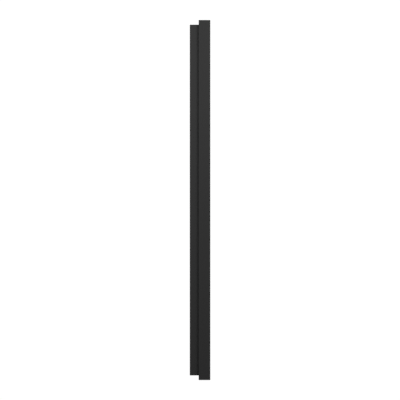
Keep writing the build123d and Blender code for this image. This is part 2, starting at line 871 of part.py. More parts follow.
def blower_bush():
    """Bush for the wheel's free end, in the left end plate."""
    low = -(housing_half_x + end_plate_sheet + bush_length / 4)
    body = rod_x(bush_radius, (low, -housing_half_x), wheel_y, wheel_z)
    flange_x = (low, -(housing_half_x + end_plate_sheet))
    body += rod_x(bush_radius * 1.4, flange_x, wheel_y, wheel_z)
    bore_x = (low - 1, -housing_half_x + 1)
    return body - rod_x(wheel_shaft_radius + running_clearance, bore_x, wheel_y, wheel_z)


def blower_motor():
    """Fan motor on the right end plate, bored for the wheel's shaft."""
    base = housing_half_x + end_plate_sheet
    can = rod_x(blower_motor_radius, (base, base + blower_motor_length), wheel_y, wheel_z)
    can = fillet(can.edges().filter_by(GeomType.CIRCLE).sort_by(Axis.X)[-1:], blower_motor_radius * 0.15)
    bore_x = (base - 1, base + blower_boss_length + slip_clearance)
    return can - rod_x(wheel_shaft_radius + running_clearance, bore_x, wheel_y, wheel_z)


def outlet_duct():
    """Sheet sleeve that carries warm air from the blower to the grille."""
    y = (duct_front_y, duct_start_y)
    outer_z = (outlet_z[0] - duct_sheet, wheel_z + scroll_outer)
    body = block(around(housing_half_x), y, outer_z)
    hollow_z = (outlet_z[0], wheel_z + scroll_inner)
    return body - block(around(housing_half_x - duct_sheet), (y[0] - 1, y[1] + 1), hollow_z)


heater_back_y = duct_start_y - heater_start_gap
heater_y = (heater_back_y - heater_depth, heater_back_y)
heater_half_x = housing_half_x - duct_sheet - heater_side_gap - heater_cap_length


def heater_core():
    """Ceramic heater: two aluminium bars joined by a comb of fins."""
    half = heater_half_x
    z = (outlet_z[0] + slip_clearance, wheel_z + scroll_inner - slip_clearance)
    pieces = [
        block(around(half), heater_y, (z[0] + heater_bar, z[0] + 2 * heater_bar)),
        block(around(half), heater_y, (z[1] - 2 * heater_bar, z[1] - heater_bar)),
    ]
    count = int(2 * half / fin_pitch)
    for x in spread(half - fin_sheet, count):
        pieces.append(block((x - fin_sheet / 2, x + fin_sheet / 2), heater_y, z))
    return Part() + pieces


def heater_caps():
    """Insulating end caps that hold the heater in the duct."""
    z = (outlet_z[0], wheel_z + scroll_inner)
    ends = [(side * heater_half_x, side * (heater_half_x + heater_cap_length)) for side in (-1, 1)]
    return Compound(children=[block(x, heater_y, z) for x in ends])


def thermal_cutout():
    """Over-heat cutout: a disc on the duct's underside, with two tags."""
    base = outlet_z[0] - duct_sheet
    y = (duct_front_y + duct_start_y) / 2
    body = rod_z(cutout_radius, -outlet_height, y, (base - cutout_height, base))
    for side in (-1, 1):
        tag_x = -outlet_height + side * cutout_radius
        tag_z = (base - cutout_height, base - cutout_height / 2)
        body += block(near(tag_x, cutout_tag / 2), near(y, cutout_tag / 4), tag_z)
    return body


# Electrics

board_y = (rotor_y - board_width / 2, rotor_y + board_width / 2)
board_z = (floor_z + board_standoff, floor_z + board_standoff + board_thickness)
board_limits = (board_x - board_length / 2, board_x + board_length / 2)


def standoff_places():
    """Corners of the control board."""
    xs = (board_limits[0] + board_inset, board_limits[1] - board_inset)
    ys = (board_y[0] + board_inset, board_y[1] - board_inset)
    return [(x, y) for x in xs for y in ys]


def control_board():
    """Main circuit board on standoffs."""
    bore_z = (floor_z, board_z[1] + 1)
    holes = [rod_z(screw_radius + hole_clearance, x, y, bore_z) for x, y in standoff_places()]
    return block(board_limits, board_y, board_z) - holes


def board_standoffs():
    """Tapped standoffs under the control board."""
    body = []
    for x, y in standoff_places():
        post = rod_z(standoff_radius, x, y, (floor_z, board_z[0]))
        body.append(post - rod_z(screw_radius, x, y, (floor_z + 1, board_z[0] + 1)))
    return Compound(children=body)


def board_screws():
    """Screws that hold the control board down."""
    depth = board_standoff - 1 + board_thickness
    screws = []
    for x, y in standoff_places():
        body = rod_z(screw_radius, x, y, (board_z[1] - min(depth, screw_length), board_z[1]))
        screws.append(body + rod_z(screw_head_radius, x, y, (board_z[1], board_z[1] + screw_head_height)))
    return screws


def board_relays():
    """Heater relays on the control board."""
    mid_y = (board_y[0] + board_y[1]) / 2
    start = board_limits[0] + 3 * board_inset
    pair = []
    for i in range(2):
        x = start + i * (relay_length + board_inset)
        y = (mid_y - relay_width / 2, mid_y + relay_width / 2)
        body = block((x, x + relay_length), y, (board_z[1], board_z[1] + relay_height))
        pair.append(chamfer(body.faces().sort_by(Axis.Z)[-1].edges(), relay_height * 0.06))
    return Compound(children=pair)


def board_transformer():
    """Supply transformer on the control board: a core and its winding block."""
    mid_y = (board_y[0] + board_y[1]) / 2
    end = board_limits[1] - 3 * board_inset
    x = (end - transformer_length, end)
    core_y = (mid_y - transformer_width / 2, mid_y + transformer_width / 2)
    inset = transformer_length * 0.2
    core = block(x, core_y, (board_z[1], board_z[1] + transformer_height * 0.75))
    winding_x = (x[0] + inset, x[1] - inset)
    return core + block(winding_x, core_y, (board_z[1], board_z[1] + transformer_height))


def board_capacitors():
    """Smoothing capacitors on the control board."""
    mid_y = (board_y[0] + board_y[1]) / 2
    start = board_limits[0] + 3 * board_inset + 2 * (relay_length + board_inset) + capacitor_radius
    cans = []
    for i in range(3):
        x = start + i * (2 * capacitor_radius + 2)
        body = rod_z(capacitor_radius, x, mid_y, (board_z[1], board_z[1] + capacitor_height))
        rim = body.edges().filter_by(GeomType.CIRCLE).sort_by(Axis.Z)[-1:]
        cans.append(fillet(rim, capacitor_radius * 0.15))
    return Compound(children=cans)


def terminal_block():
    """Three-way mains terminal block on the chassis floor."""
    x = (terminal_x - terminal_length / 2, terminal_x + terminal_length / 2)
    hole_z = floor_z + terminal_height * 0.35
    body = block(x, near(rotor_y, terminal_width / 2), (floor_z, floor_z + terminal_height))
    way = terminal_length / 3
    for i in range(3):
        middle = x[0] + way * (i + 0.5)
        body -= rod_y(terminal_bore, middle, near(rotor_y, terminal_width), hole_z)
        body -= rod_z(terminal_bore, middle, rotor_y, (hole_z, floor_z + terminal_height + 1))
    return body


def cable_gland():
    """Bored gland through the chassis floor, where a mains lead would enter."""
    z = (-chassis_half_z - gland_outside, floor_z + gland_nut_height + gland_inside)
    body = rod_z(gland_thread_radius, gland_x, rotor_y, z)
    dome = rod_z(gland_radius, gland_x, rotor_y, (z[0], -chassis_half_z))
    rim = dome.edges().filter_by(GeomType.CIRCLE).sort_by(Axis.Z)[0]
    dome = fillet(rim, (gland_radius - gland_bore_radius) * 0.5)
    return body + dome - rod_z(gland_bore_radius, gland_x, rotor_y, (z[0] - 1, z[1] + 1))


def gland_nut():
    """Six-sided nut that holds the gland inside the chassis."""
    hexagon = RegularPolygon(gland_radius, 6) - Circle(gland_thread_radius + hole_clearance)
    return Pos(gland_x, rotor_y, floor_z) * extrude(hexagon, amount=gland_nut_height)


# Front surround


def fascia_sketch(grow):
    """Rounded outline of the control fascia, grown by a margin."""
    outline = RectangleRounded(fascia_length + 2 * grow, fascia_height + 2 * grow, fascia_corner + grow)
    return Pos(fascia_x, fascia_z) * outline


def intake_slots():
    """Air intake slots in the surround's underside."""
    count = int(2 * intake_half_run / intake_pitch) + 1
    slots = []
    for x in spread(intake_half_run, count):
        for row in (-1, 1):
            y = (front_y + frame_back_y) / 2 + row * (intake_slot_width + intake_slot_width)
            outline = Pos(x, y) * SlotOverall(intake_slot_length, intake_slot_width)
            low = -frame_height / 2 - 1
            slots.append(extrude(Plane.XY.offset(low) * outline, amount=frame_sheet + 2))
    return slots


def front_frame():
    """Folded surround with a window, an outlet, a control cut-out and a lip round its rear edge."""
    half_x, half_z = frame_width / 2, frame_height / 2
    outer = round_box(around(half_x), (front_y, frame_back_y), around(half_z), frame_corner, 1)
    inner_radius = max(frame_corner - frame_sheet, frame_corner / 4)
    hollow_y = (frame_inner_y, frame_back_y - frame_sheet)
    hollow = round_box(around(frame_inner_half_x), hollow_y, around(frame_inner_half_z), inner_radius, 1)
    mouth_y = (frame_back_y - 2 * frame_sheet, frame_back_y + 1)
    mouth = block(around(half_x - frame_lip), mouth_y, around(half_z - frame_lip))
    sheet_y = (front_y - 1, frame_inner_y + 1)
    window = slab_y(RectangleRounded(2 * window_half_x, 2 * window_half_z, window_corner), sheet_y)
    outlet_outline = RectangleRounded(outlet_width, outlet_height, window_corner)
    outlet = slab_y(Pos(0, outlet_mid_z) * outlet_outline, sheet_y)
    fascia = slab_y(fascia_sketch(0), sheet_y)
    rocker_x_limits = (rocker_x - rocker_length / 2, rocker_x + rocker_length / 2)
    rocker_y_limits = (rocker_y - rocker_width / 2, rocker_y + rocker_width / 2)
    rocker_hole = block(rocker_x_limits, rocker_y_limits, (-half_z - 1, -half_z + frame_sheet + 1))
    return outer - hollow - mouth - window - outlet - fascia - rocker_hole - intake_slots()


def frame_hooks():
    """Brackets inside the surround whose open-bottomed slots hang on the chassis pins."""
    hooks = []
    for side, y, z in hook_pin_places():
        plate_x = (side * hook_plate_x, side * (hook_plate_x + hook_sheet))
        low = z + hook_pin_radius - hook_engagement - 1
        high = z + hook_pin_radius + hook_rise
        plate = block(plate_x, (y - hook_width / 2, y + hook_width / 2), (low, high))
        slot_half = hook_pin_radius + slip_clearance
        slot_x = (side * (hook_plate_x - 1), side * (hook_plate_x + hook_sheet + 1))
        plate -= block(slot_x, (y - slot_half, y + slot_half), (low - 1, z))
        plate -= rod_x(hook_pin_radius + running_clearance, slot_x, y, z)
        bridge_x = (side * hook_plate_x, side * frame_inner_half_x)
        plate += block(bridge_x, (y - hook_width / 2, y + hook_width / 2), (high - hook_sheet, high))
        foot_x = (side * (frame_inner_half_x - hook_sheet), side * frame_inner_half_x)
        plate += block(foot_x, (y - hook_width / 2, y + hook_width / 2), (low, high))
        hooks.append(plate)
    return Compound(children=hooks)


def glass_gasket():
    """Seal between the glass and the surround."""
    outer = Rectangle(2 * glass_half_x, 2 * glass_half_z)
    inner = RectangleRounded(2 * window_half_x + 2, 2 * window_half_z + 2, window_corner)
    return slab_y(outer - inner, (frame_inner_y, glass_front_y))


def glass_pane():
    """Toughened front glass."""
    pane = block(around(glass_half_x), (glass_front_y, glass_back_y), around(glass_half_z))
    return chamfer(pane.edges().filter_by(Axis.Y, reverse=True), glass_thickness * 0.12)


def clip_places():
    """Glass clips on the long edges: (x, side), clear of the outlet."""
    xs = (outlet_width / 2 + clip_outlet_margin, window_half_x - clip_end_margin)
    return [(sign * x, side) for x in xs for sign in (-1, 1) for side in (-1, 1)]


def glass_clips():
    """Stepped clips that hold the glass against the surround."""
    clips = []
    for x, side in clip_places():
        span = (x - clip_width / 2, x + clip_width / 2)
        edge = glass_half_z + slip_clearance
        back_y = glass_back_y + clip_sheet
        grip_z = (side * (glass_half_z - clip_grip), side * (edge + clip_sheet))
        grip = block(span, (glass_back_y, back_y), grip_z)
        riser = block(span, (frame_inner_y, back_y), (side * edge, side * (edge + clip_sheet)))
        foot_z = (side * edge, side * (edge + clip_foot))
        foot = block(span, (frame_inner_y, frame_inner_y + clip_sheet), foot_z)
        hole_z = side * (edge + clip_sheet + (clip_foot - clip_sheet) / 2)
        hole = rod_y(screw_radius + hole_clearance, x, (frame_inner_y - 1, back_y), hole_z)
        clips.append(grip + riser + foot - hole)
    return Compound(children=clips)


def clip_studs():
    """Welded studs and nuts that hold the glass clips."""
    studs = []
    edge = glass_half_z + slip_clearance
    for x, side in clip_places():
        z = side * (edge + clip_sheet + (clip_foot - clip_sheet) / 2)
        nut_y = frame_inner_y + clip_sheet
        stud = rod_y(screw_radius, x, (frame_inner_y, nut_y + 2 * screw_head_height), z)
        studs.append(stud + rod_y(screw_head_radius, x, (nut_y, nut_y + screw_head_height), z))
    return Compound(children=studs)


def outlet_grille():
    """Louvred insert in the surround's warm-air outlet."""
    gap = slip_clearance
    y = (front_y + fascia_recess, grille_back_y)
    centre = Pos(0, outlet_mid_z)
    outer = centre * RectangleRounded(outlet_width - 2 * gap, outlet_height - 2 * gap, window_corner - gap)
    rim_width = outlet_width - 2 * (gap + grille_rim)
    rim_height = outlet_height - 2 * (gap + grille_rim)
    mouth = centre * Rectangle(rim_width, rim_height)
    body = slab_y(outer, y) - slab_y(mouth, (y[0] - 1, y[1] + 1))
    flange = centre * RectangleRounded(outlet_width + 2 * grille_rim, outlet_height + gap, window_corner)
    body += slab_y(flange - mouth, (frame_inner_y, frame_inner_y + frame_sheet))
    mid_y = (y[0] + y[1]) / 2
    rim_z = near(outlet_mid_z, rim_height / 2)
    window = block(around(rim_width / 2), y, rim_z)
    for dz in spread(rim_height * 0.36, grille_blades):
        blade = Rot(grille_blade_tilt, 0, 0) * Box(rim_width + 2, (y[1] - y[0]) * 1.3, grille_blade_sheet)
        body += (Pos(0, mid_y, outlet_mid_z + dz) * blade) & window
    for x in spread(rim_width / 2 * 0.6, grille_posts):
        body += block(near(x, grille_post_width / 2), (y[0] + grille_depth * 0.3, y[1]), rim_z)
    return body


def button_places():
    """Button centres along the fascia."""
    return [fascia_x + button_pitch * (i - (button_count - 1) / 2 - 0.5) for i in range(button_count)]


lens_x = fascia_x + button_pitch * button_count / 2


def control_fascia():
    """Moulded fascia behind the surround's control cut-out, with button openings and a lens opening."""
    body = slab_y(fascia_sketch(-slip_clearance), (fascia_front_y, frame_inner_y))
    body += slab_y(fascia_sketch(fascia_margin), (frame_inner_y, fascia_back_y))
    side = button_size + 2 * button_clearance
    for x in button_places():
        opening = Pos(x, fascia_z) * RectangleRounded(side, side, button_corner + button_clearance)
        body -= slab_y(opening, (fascia_front_y - 1, fascia_back_y + 1))
    for x, z in board_post_places():
        body += rod_y(board_post_radius, x, (fascia_back_y, button_board_y), z)
    return body - rod_y(lens_radius, lens_x, (fascia_front_y - 1, fascia_back_y + 1), fascia_z)


def push_button(index):
    """Button cap with a retaining flange and a stem over its switch."""
    x = button_places()[index]
    outline = Pos(x, fascia_z) * RectangleRounded(button_size, button_size, button_corner)
    cap = slab_y(outline, (button_front_y, button_back_y))
    front = cap.faces().sort_by(Axis.Y)[0]
    cap = fillet(front.edges(), button_corner * 0.2)
    wide = button_size + 2 * (button_clearance + button_flange)
    flange = Pos(x, fascia_z) * RectangleRounded(wide, wide, button_corner)
    return cap + slab_y(flange, (fascia_back_y + slip_clearance, button_back_y))


def receiver_lens():
    """Tinted lens of the remote-control receiver."""
    body = rod_y(lens_radius, lens_x, (fascia_front_y, fascia_back_y), fascia_z)
    return fillet(body.edges().filter_by(GeomType.CIRCLE).sort_by(Axis.Y)[0], fascia_recess)


def button_switches():
    """Tactile switches behind the buttons."""
    half = switch_size / 2
    body = []
    for x in button_places():
        base_y = (switch_front_y + switch_height * 0.3, button_board_y)
        base = block(near(x, half), base_y, near(fascia_z, half))
        body.append(base + rod_y(switch_size * 0.28, x, (switch_front_y, button_board_y), fascia_z))
    return Compound(children=body)


def board_post_places():
    """Posts between the fascia and the button board."""
    reach = fascia_length / 2 - board_post_radius
    return [(fascia_x + side * reach, fascia_z) for side in (-1, 1)]


def button_board():
    """Circuit board behind the fascia."""
    x = (fascia_x - fascia_length / 2, fascia_x + fascia_length / 2)
    z = (fascia_z - fascia_height / 2, fascia_z + fascia_height / 2)
    return block(x, (button_board_y, button_board_y + button_board_thickness), z)


rocker_pivot_z = -frame_height / 2 + rocker_radius * 0.55


def rocker_socket():
    """Snap-in body of the mains rocker switch, open downwards."""
    half_x, half_y = rocker_length / 2 - slip_clearance, rocker_width / 2 - slip_clearance
    x = (rocker_x - half_x, rocker_x + half_x)
    y = (rocker_y - half_y, rocker_y + half_y)
    base_z = -frame_height / 2
    body = block(x, y, (base_z - rocker_bezel, base_z + rocker_body_depth))
    rim_x = (x[0] - slip_clearance - rocker_rim, x[1] + slip_clearance + rocker_rim)
    rim_y = (y[0] - slip_clearance - rocker_rim, y[1] + slip_clearance + rocker_rim)
    body += block(rim_x, rim_y, (base_z - rocker_bezel, base_z))
    hollow_x = (x[0] + rocker_wall, x[1] - rocker_wall)
    hollow_y = (y[0] + rocker_wall, y[1] - rocker_wall)
    body -= block(hollow_x, hollow_y, (base_z - rocker_bezel - 1, base_z + rocker_body_depth - rocker_wall))
    return body - rod_y(rocker_pin_radius, rocker_x, (y[0] - 1, y[1] + 1), rocker_pivot_z)


def rocker_pin():
    """Pivot pin of the rocker, pressed into the socket walls."""
    half_y = rocker_width / 2 - slip_clearance
    return rod_y(rocker_pin_radius, rocker_x, (rocker_y - half_y, rocker_y + half_y), rocker_pivot_z)


def rocker_key():
    """Rocker key, modelled tipped to its off side."""
    half_x = rocker_length / 2 - slip_clearance - rocker_wall - rocker_clearance
    half_y = rocker_width / 2 - slip_clearance - rocker_wall - rocker_clearance
    drop = rocker_pivot_z + frame_height / 2 + rocker_bezel
    tip = math.radians(rocker_swing / 2)
    reach = (half_x - drop * math.sin(tip)) / math.cos(tip)
    top = rocker_pin_radius * 2
    outline = Polyline((-reach, -drop), (-reach * 0.7, top), (reach * 0.7, top), (reach, -drop))
    crown = ThreePointArc((reach, -drop), (0, -drop + reach * math.tan(tip)), (-reach, -drop))
    face = make_face(outline + crown)
    key = extrude(Plane.XZ.offset(-half_y) * face, amount=2 * half_y)
    key -= rod_y(rocker_pin_radius + running_clearance, 0, around(half_y + 1), 0)
    return Pos(rocker_x, rocker_y, rocker_pivot_z) * Rot(0, rocker_swing / 2, 0) * key


def nodes():
    """Every named piece of the fireplace."""
    made = {
        "wall_rail": wall_rail(),
        "rear_chassis": rear_chassis(),
        "hanger_rail": hanger_rail(),
        "hanger_rivets": hanger_rivets(),
        "hook_pins": hook_pins(),
        "firebox_liner": firebox_liner(),
        "chassis_screws": Compound(children=liner_screws() + board_screws()),
        "screen_channels": screen_channels(),
        "flame_screen": flame_screen(),
        "ember_tray": ember_tray(),
        "ember_bed": ember_bed(),
        "fire_logs": fire_logs(),
        "branches": branches(),
        "led_boards": Compound(children=[ember_board(), flame_board()]),
        "light_chips": Compound(children=ember_leds() + flame_leds()),
        "flame_stencil": flame_stencil(),
        "back_reflector": back_reflector(),
        "flame_rotor_left": flame_rotor(-1),
        "flame_rotor_right": flame_rotor(1),
        "centre_bracket": centre_bracket(),
        "motor_brackets": Compound(children=[motor_bracket(-1), motor_bracket(1)]),
        "rotor_motors": Compound(children=[rotor_motor(-1), rotor_motor(1)]),
        "shaft_bushes": Compound(children=[centre_bush(), blower_bush()]),
        "blower_wheel": blower_wheel(),
        "blower_housing": blower_housing(),
        "blower_tongue": blower_tongue(),
        "blower_ends": Compound(children=[blower_end_plate(-1), blower_end_plate(1)]),
        "blower_motor": blower_motor(),
        "outlet_duct": outlet_duct(),
        "heater_core": heater_core(),
        "heater_caps": heater_caps(),
        "thermal_cutout": thermal_cutout(),
        "control_board": control_board(),
        "board_standoffs": board_standoffs(),
        "board_relays": board_relays(),
        "board_transformer": board_transformer(),
        "board_capacitors": board_capacitors(),
        "terminal_block": terminal_block(),
        "cable_gland": cable_gland(),
        "gland_nut": gland_nut(),
        "front_frame": front_frame(),
        "frame_hooks": frame_hooks(),
        "glass_gasket": glass_gasket(),
        "glass_pane": glass_pane(),
        "glass_clips": glass_clips(),
        "clip_studs": clip_studs(),
        "outlet_grille": outlet_grille(),
        "control_fascia": control_fascia(),
        "receiver_lens": receiver_lens(),
        "button_switches": button_switches(),
        "button_board": button_board(),
        "rocker_socket": rocker_socket(),
        "rocker_pin": rocker_pin(),
        "rocker_key": rocker_key(),
    }
    for index in range(button_count):
        made[f"button_{index + 1}"] = push_button(index)
    return made


if __name__ == "__main__":
    os.makedirs("parts", exist_ok=True)
    for name, shape in nodes().items():
        export_step(shape, f"parts/{name}.step")
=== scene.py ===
"""A slim wall fireplace seen from straight above: a black casing around a fire of coals and driftwood."""

import logging
import math
from abc import ABC, abstractmethod
from dataclasses import dataclass, field
from enum import Enum
from typing import Any, ClassVar, Mapping, Sequence

import bpy
import numpy as np
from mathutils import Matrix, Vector


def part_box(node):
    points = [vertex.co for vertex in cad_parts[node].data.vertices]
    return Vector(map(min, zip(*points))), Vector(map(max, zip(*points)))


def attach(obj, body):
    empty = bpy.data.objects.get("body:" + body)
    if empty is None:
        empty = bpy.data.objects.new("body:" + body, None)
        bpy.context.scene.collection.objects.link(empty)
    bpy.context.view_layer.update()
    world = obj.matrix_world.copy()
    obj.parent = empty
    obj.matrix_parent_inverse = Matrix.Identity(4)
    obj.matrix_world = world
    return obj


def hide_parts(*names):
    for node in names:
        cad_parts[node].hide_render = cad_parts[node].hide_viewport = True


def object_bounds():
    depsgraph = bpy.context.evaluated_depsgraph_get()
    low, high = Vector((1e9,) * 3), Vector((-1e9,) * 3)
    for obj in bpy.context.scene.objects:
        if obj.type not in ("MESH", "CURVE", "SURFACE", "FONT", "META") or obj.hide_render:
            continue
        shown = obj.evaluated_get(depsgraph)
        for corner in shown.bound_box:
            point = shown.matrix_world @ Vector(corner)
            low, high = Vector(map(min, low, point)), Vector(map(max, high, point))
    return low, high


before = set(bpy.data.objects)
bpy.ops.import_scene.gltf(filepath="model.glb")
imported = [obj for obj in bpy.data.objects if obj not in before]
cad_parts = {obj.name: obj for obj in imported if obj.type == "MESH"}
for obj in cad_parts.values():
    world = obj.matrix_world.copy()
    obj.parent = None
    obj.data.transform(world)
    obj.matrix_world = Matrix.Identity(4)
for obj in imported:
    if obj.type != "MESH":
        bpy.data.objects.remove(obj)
CAD_BOX = [list(corner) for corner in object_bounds()]
LOG = logging.getLogger("fireplace")

Colour = tuple[float, float, float]
Point = tuple[float, float, float]
Span = tuple[float, float]

DARK: Colour = (0.0, 0.0, 0.0)
WHITE: Colour = (1.0, 1.0, 1.0)
# A full turn in radians, rounded up.
TURN = 6.3


class Body(Enum):
    """The moving bodies that new pieces ride on."""

    CHASSIS = "chassis"
    BUTTON_1 = "button_1"
    BUTTON_2 = "button_2"
    BUTTON_3 = "button_3"
    BUTTON_4 = "button_4"
    BUTTON_5 = "button_5"

    @classmethod
    def buttons(cls) -> list["Body"]:
        """The bodies of the five buttons."""
        return [body for body in cls if body is not cls.CHASSIS]


class Slot(Enum):
    """The record's finishes named for new pieces; the pieces don't take them."""

    SCREEN = "frosted_screen"
    EMBERS = "ember_resin"
    LOGS = "log_wood"
    BRANCHES = "branch_wood"
    LIGHT = "light_chip"


class Wire:
    """A node's output that takes part in sums: each operator adds a Math node."""

    def __init__(self, bench: "Bench", socket: bpy.types.NodeSocket) -> None:
        """Keeps the socket and the bench that its sums are added to."""
        self.bench = bench
        self.socket = socket

    def maths(self, operation: str, first: Any, second: Any = 0.0) -> "Wire":
        """Adds a Math node for that operation on two terms, each a wire or a number."""
        return self.bench.node("ShaderNodeMath", {"operation": operation}, {0: first, 1: second})

    def __add__(self, other: Any) -> "Wire":
        """This plus the other."""
        return self.maths("ADD", self, other)

    __radd__ = __add__

    def __sub__(self, other: Any) -> "Wire":
        """This less the other."""
        return self.maths("SUBTRACT", self, other)

    def __rsub__(self, other: Any) -> "Wire":
        """The other less this."""
        return self.maths("SUBTRACT", other, self)

    def __mul__(self, other: Any) -> "Wire":
        """This times the other."""
        return self.maths("MULTIPLY", self, other)

    __rmul__ = __mul__

    def __pow__(self, other: Any) -> "Wire":
        """This to the power of the other."""
        return self.maths("POWER", self, other)

    def sine(self) -> "Wire":
        """The sine of this."""
        return self.maths("SINE", self)

    def above(self, edge: float) -> "Wire":
        """One where this is over the edge, and nought elsewhere."""
        return self.maths("GREATER_THAN", self, edge)

    def limited(self) -> "Wire":
        """This held between nought and one."""
        return self.bench.node("ShaderNodeClamp", {}, {"Value": self})

    def between(self, low: float, high: float) -> "Wire":
        """Low where this is nought, high where it is one, and even between them."""
        return self * (high - low) + low

    def ramp(self, low: float, high: float) -> "Wire":
        """Nought up to low, one from high on, and even between them."""
        return ((self - low) * (1.0 / (high - low))).limited()


class Bench:
    """A node tree under construction."""

    def __init__(self, tree: bpy.types.NodeTree, output: str) -> None:
        """Empties the tree and adds its output node.

        Args:
            tree: a material's or a world's tree.
            output: the type of its output node.
        """
        self.tree = tree
        self.tree.nodes.clear()
        self.output = self.tree.nodes.new(output)

    @classmethod
    def material(cls, name: str) -> tuple["Bench", bpy.types.Material]:
        """Makes a material.

        Args:
            name: its name.

        Returns:
            A bench for its nodes, and the material.
        """
        made = bpy.data.materials.new(name)
        made.use_nodes = True
        return cls(made.node_tree, "ShaderNodeOutputMaterial"), made

    def node(
        self, kind: str, settings: Mapping[str, Any], inputs: Mapping[Any, Any], output: Any = 0
    ) -> Wire:
        """Adds any node.

        Args:
            kind: the node's type.
            settings: its properties, which are set first.
            inputs: its sockets by name or number, each a wire or a plain value.
            output: the name or number of the output wanted.

        Returns:
            That output as a wire.
        """
        made = self.tree.nodes.new(kind)
        for key, value in settings.items():
            setattr(made, key, value)
        for key, value in inputs.items():
            if isinstance(value, Wire):
                self.tree.links.new(value.socket, made.inputs[key])
            else:
                made.inputs[key].default_value = value
        return Wire(self, made.outputs[output])

    def place(self, stretch: Point = (1.0, 1.0, 1.0)) -> Wire:
        """The point on the object in metres, stretched along each axis."""
        point = self.node("ShaderNodeTexCoord", {}, {}, "Object")
        return self.node("ShaderNodeVectorMath", {"operation": "MULTIPLY"}, {0: point, 1: stretch})

    def noise(self, where: Wire, scale: float, detail: float = 3.0) -> Wire:
        """Cloudy noise from nought to one, with that many clouds a metre."""
        return self.node("ShaderNodeTexNoise", {}, {"Vector": where, "Scale": scale, "Detail": detail})

    def cells(self, where: Wire, scale: float) -> Wire:
        """A random value for each cell of a crystal pattern, with that many cells a metre."""
        colour = self.node("ShaderNodeTexVoronoi", {}, {"Vector": where, "Scale": scale}, "Color")
        return self.node("ShaderNodeSeparateColor", {}, {"Color": colour})

    def kept(self, name: str, output: str = "Fac") -> Wire:
        """What the mesh keeps at its points under that name: a number, or a colour by its own output."""
        return self.node("ShaderNodeAttribute", {"attribute_name": name}, {}, output)

    def blend(self, factor: Any, first: Any, second: Any) -> Wire:
        """A colour between two colours."""
        ends = [c if isinstance(c, Wire) else (*c, 1.0) for c in (first, second)]
        return self.node("ShaderNodeMix", {"data_type": "RGBA"}, {0: factor, 6: ends[0], 7: ends[1]}, 2)

    def bump(self, height: Wire, depth: float) -> Wire:
        """A normal from a height of nought to one, that many metres deep."""
        return self.node("ShaderNodeBump", {}, {"Height": height, "Strength": 1.0, "Distance": depth})

    def surface(self, **inputs: Any) -> Wire:
        """A Principled shader; underscores in the names stand for spaces."""
        named = {key.replace("_", " "): value for key, value in inputs.items()}
        return self.node("ShaderNodeBsdfPrincipled", {}, named)

    def clear(self, tint: Colour = WHITE) -> Wire:
        """A shader that lets light straight through."""
        return self.node("ShaderNodeBsdfTransparent", {}, {"Color": (*tint, 1.0)})

    def mixed(self, factor: Wire, first: Wire, second: Wire) -> Wire:
        """The first shader where the factor is nought, and the second where it is one."""
        return self.node("ShaderNodeMixShader", {}, {0: factor, 1: first, 2: second})

    def ray(self, kind: str) -> Wire:
        """One for the rays of that kind, and nought for others."""
        return self.node("ShaderNodeLightPath", {}, {}, f"Is {kind} Ray")

    def seen(self) -> Wire:
        """One for the rays that show a background: camera, mirror and glass rays."""
        return (self.ray("Camera") + self.ray("Glossy") + self.ray("Transmission")).limited()

    def finish(self, shader: Wire) -> None:
        """Joins the shader to the output."""
        self.tree.links.new(shader.socket, self.output.inputs["Surface"])


@dataclass(frozen=True)
class Finish(ABC):
    """The finish of the material that it names.

    In every finish, patterns such as grain, scuffs and patches are counted a metre, and depths are metres.
    A gloss is the roughness where the pattern is least and where it is greatest. An edge is the pair of
    pattern values between which what it drives goes from nothing to full.
    """

    name: str

    @abstractmethod
    def shade(self, bench: Bench) -> Wire:
        """Adds the finish's nodes.

        Args:
            bench: the material's bench.

        Returns:
            The shader.
        """


@dataclass(frozen=True)
class Grained(Finish):
    """A finish whose colour, gloss and surface vary with its grain.

    Attributes:
        colour: the base colour.
        fleck: the colour that the grain mixes in.
        grain: clouds of grain.
        stretch: the grain's scale along each axis.
        gloss: the roughness.
        metal: how metallic it is.
        tooth: the depth of the fine texture.
        pitch: bumps of the fine texture.
        specular: strength of the plain reflection.
        coat: strength of a clear coat.
    """

    colour: Colour
    fleck: Colour
    grain: float
    stretch: Point = (1.0, 1.0, 1.0)
    gloss: Span = (0.45, 0.6)
    metal: float = 0.0
    tooth: float = 0.00004
    pitch: float = 700.0
    specular: float = 0.5
    coat: float = 0.0

    def shade(self, bench: Bench) -> Wire:
        """Mixes the colours and sets the gloss by the grain, and adds a finer tooth.

        Args:
            bench: the material's bench.

        Returns:
            The shader.
        """
        where = bench.place(self.stretch)
        grain = bench.noise(where, self.grain)
        fine = bench.noise(where, self.pitch, 2.0)
        return bench.surface(
            Base_Color=bench.blend(grain, self.colour, self.fleck),
            Roughness=grain.between(*self.gloss),
            Metallic=self.metal,
            Specular_IOR_Level=self.specular,
            Coat_Weight=self.coat,
            Normal=bench.bump(fine * 0.7 + grain * 0.3, self.tooth),
        )


@dataclass(frozen=True)
class Spangled(Finish):
    """Galvanised sheet: each zinc crystal has its own grey and gloss, and scuffs wear the gloss."""

    dark: Colour
    light: Colour
    crystals: float = 70.0
    gloss: Span = (0.26, 0.44)
    scuffs: float = 240.0
    wear: float = 0.1
    depth: float = 0.00003

    def shade(self, bench: Bench) -> Wire:
        """Colours the crystals and scuffs them.

        Args:
            bench: the material's bench.

        Returns:
            The shader.
        """
        where = bench.place()
        crystal = bench.cells(where, self.crystals)
        scuff = bench.noise(where, self.scuffs)
        return bench.surface(
            Base_Color=bench.blend(crystal, self.dark, self.light),
            Roughness=crystal.between(*self.gloss) + scuff * self.wear,
            Metallic=1.0,
            Normal=bench.bump(scuff, self.depth),
        )


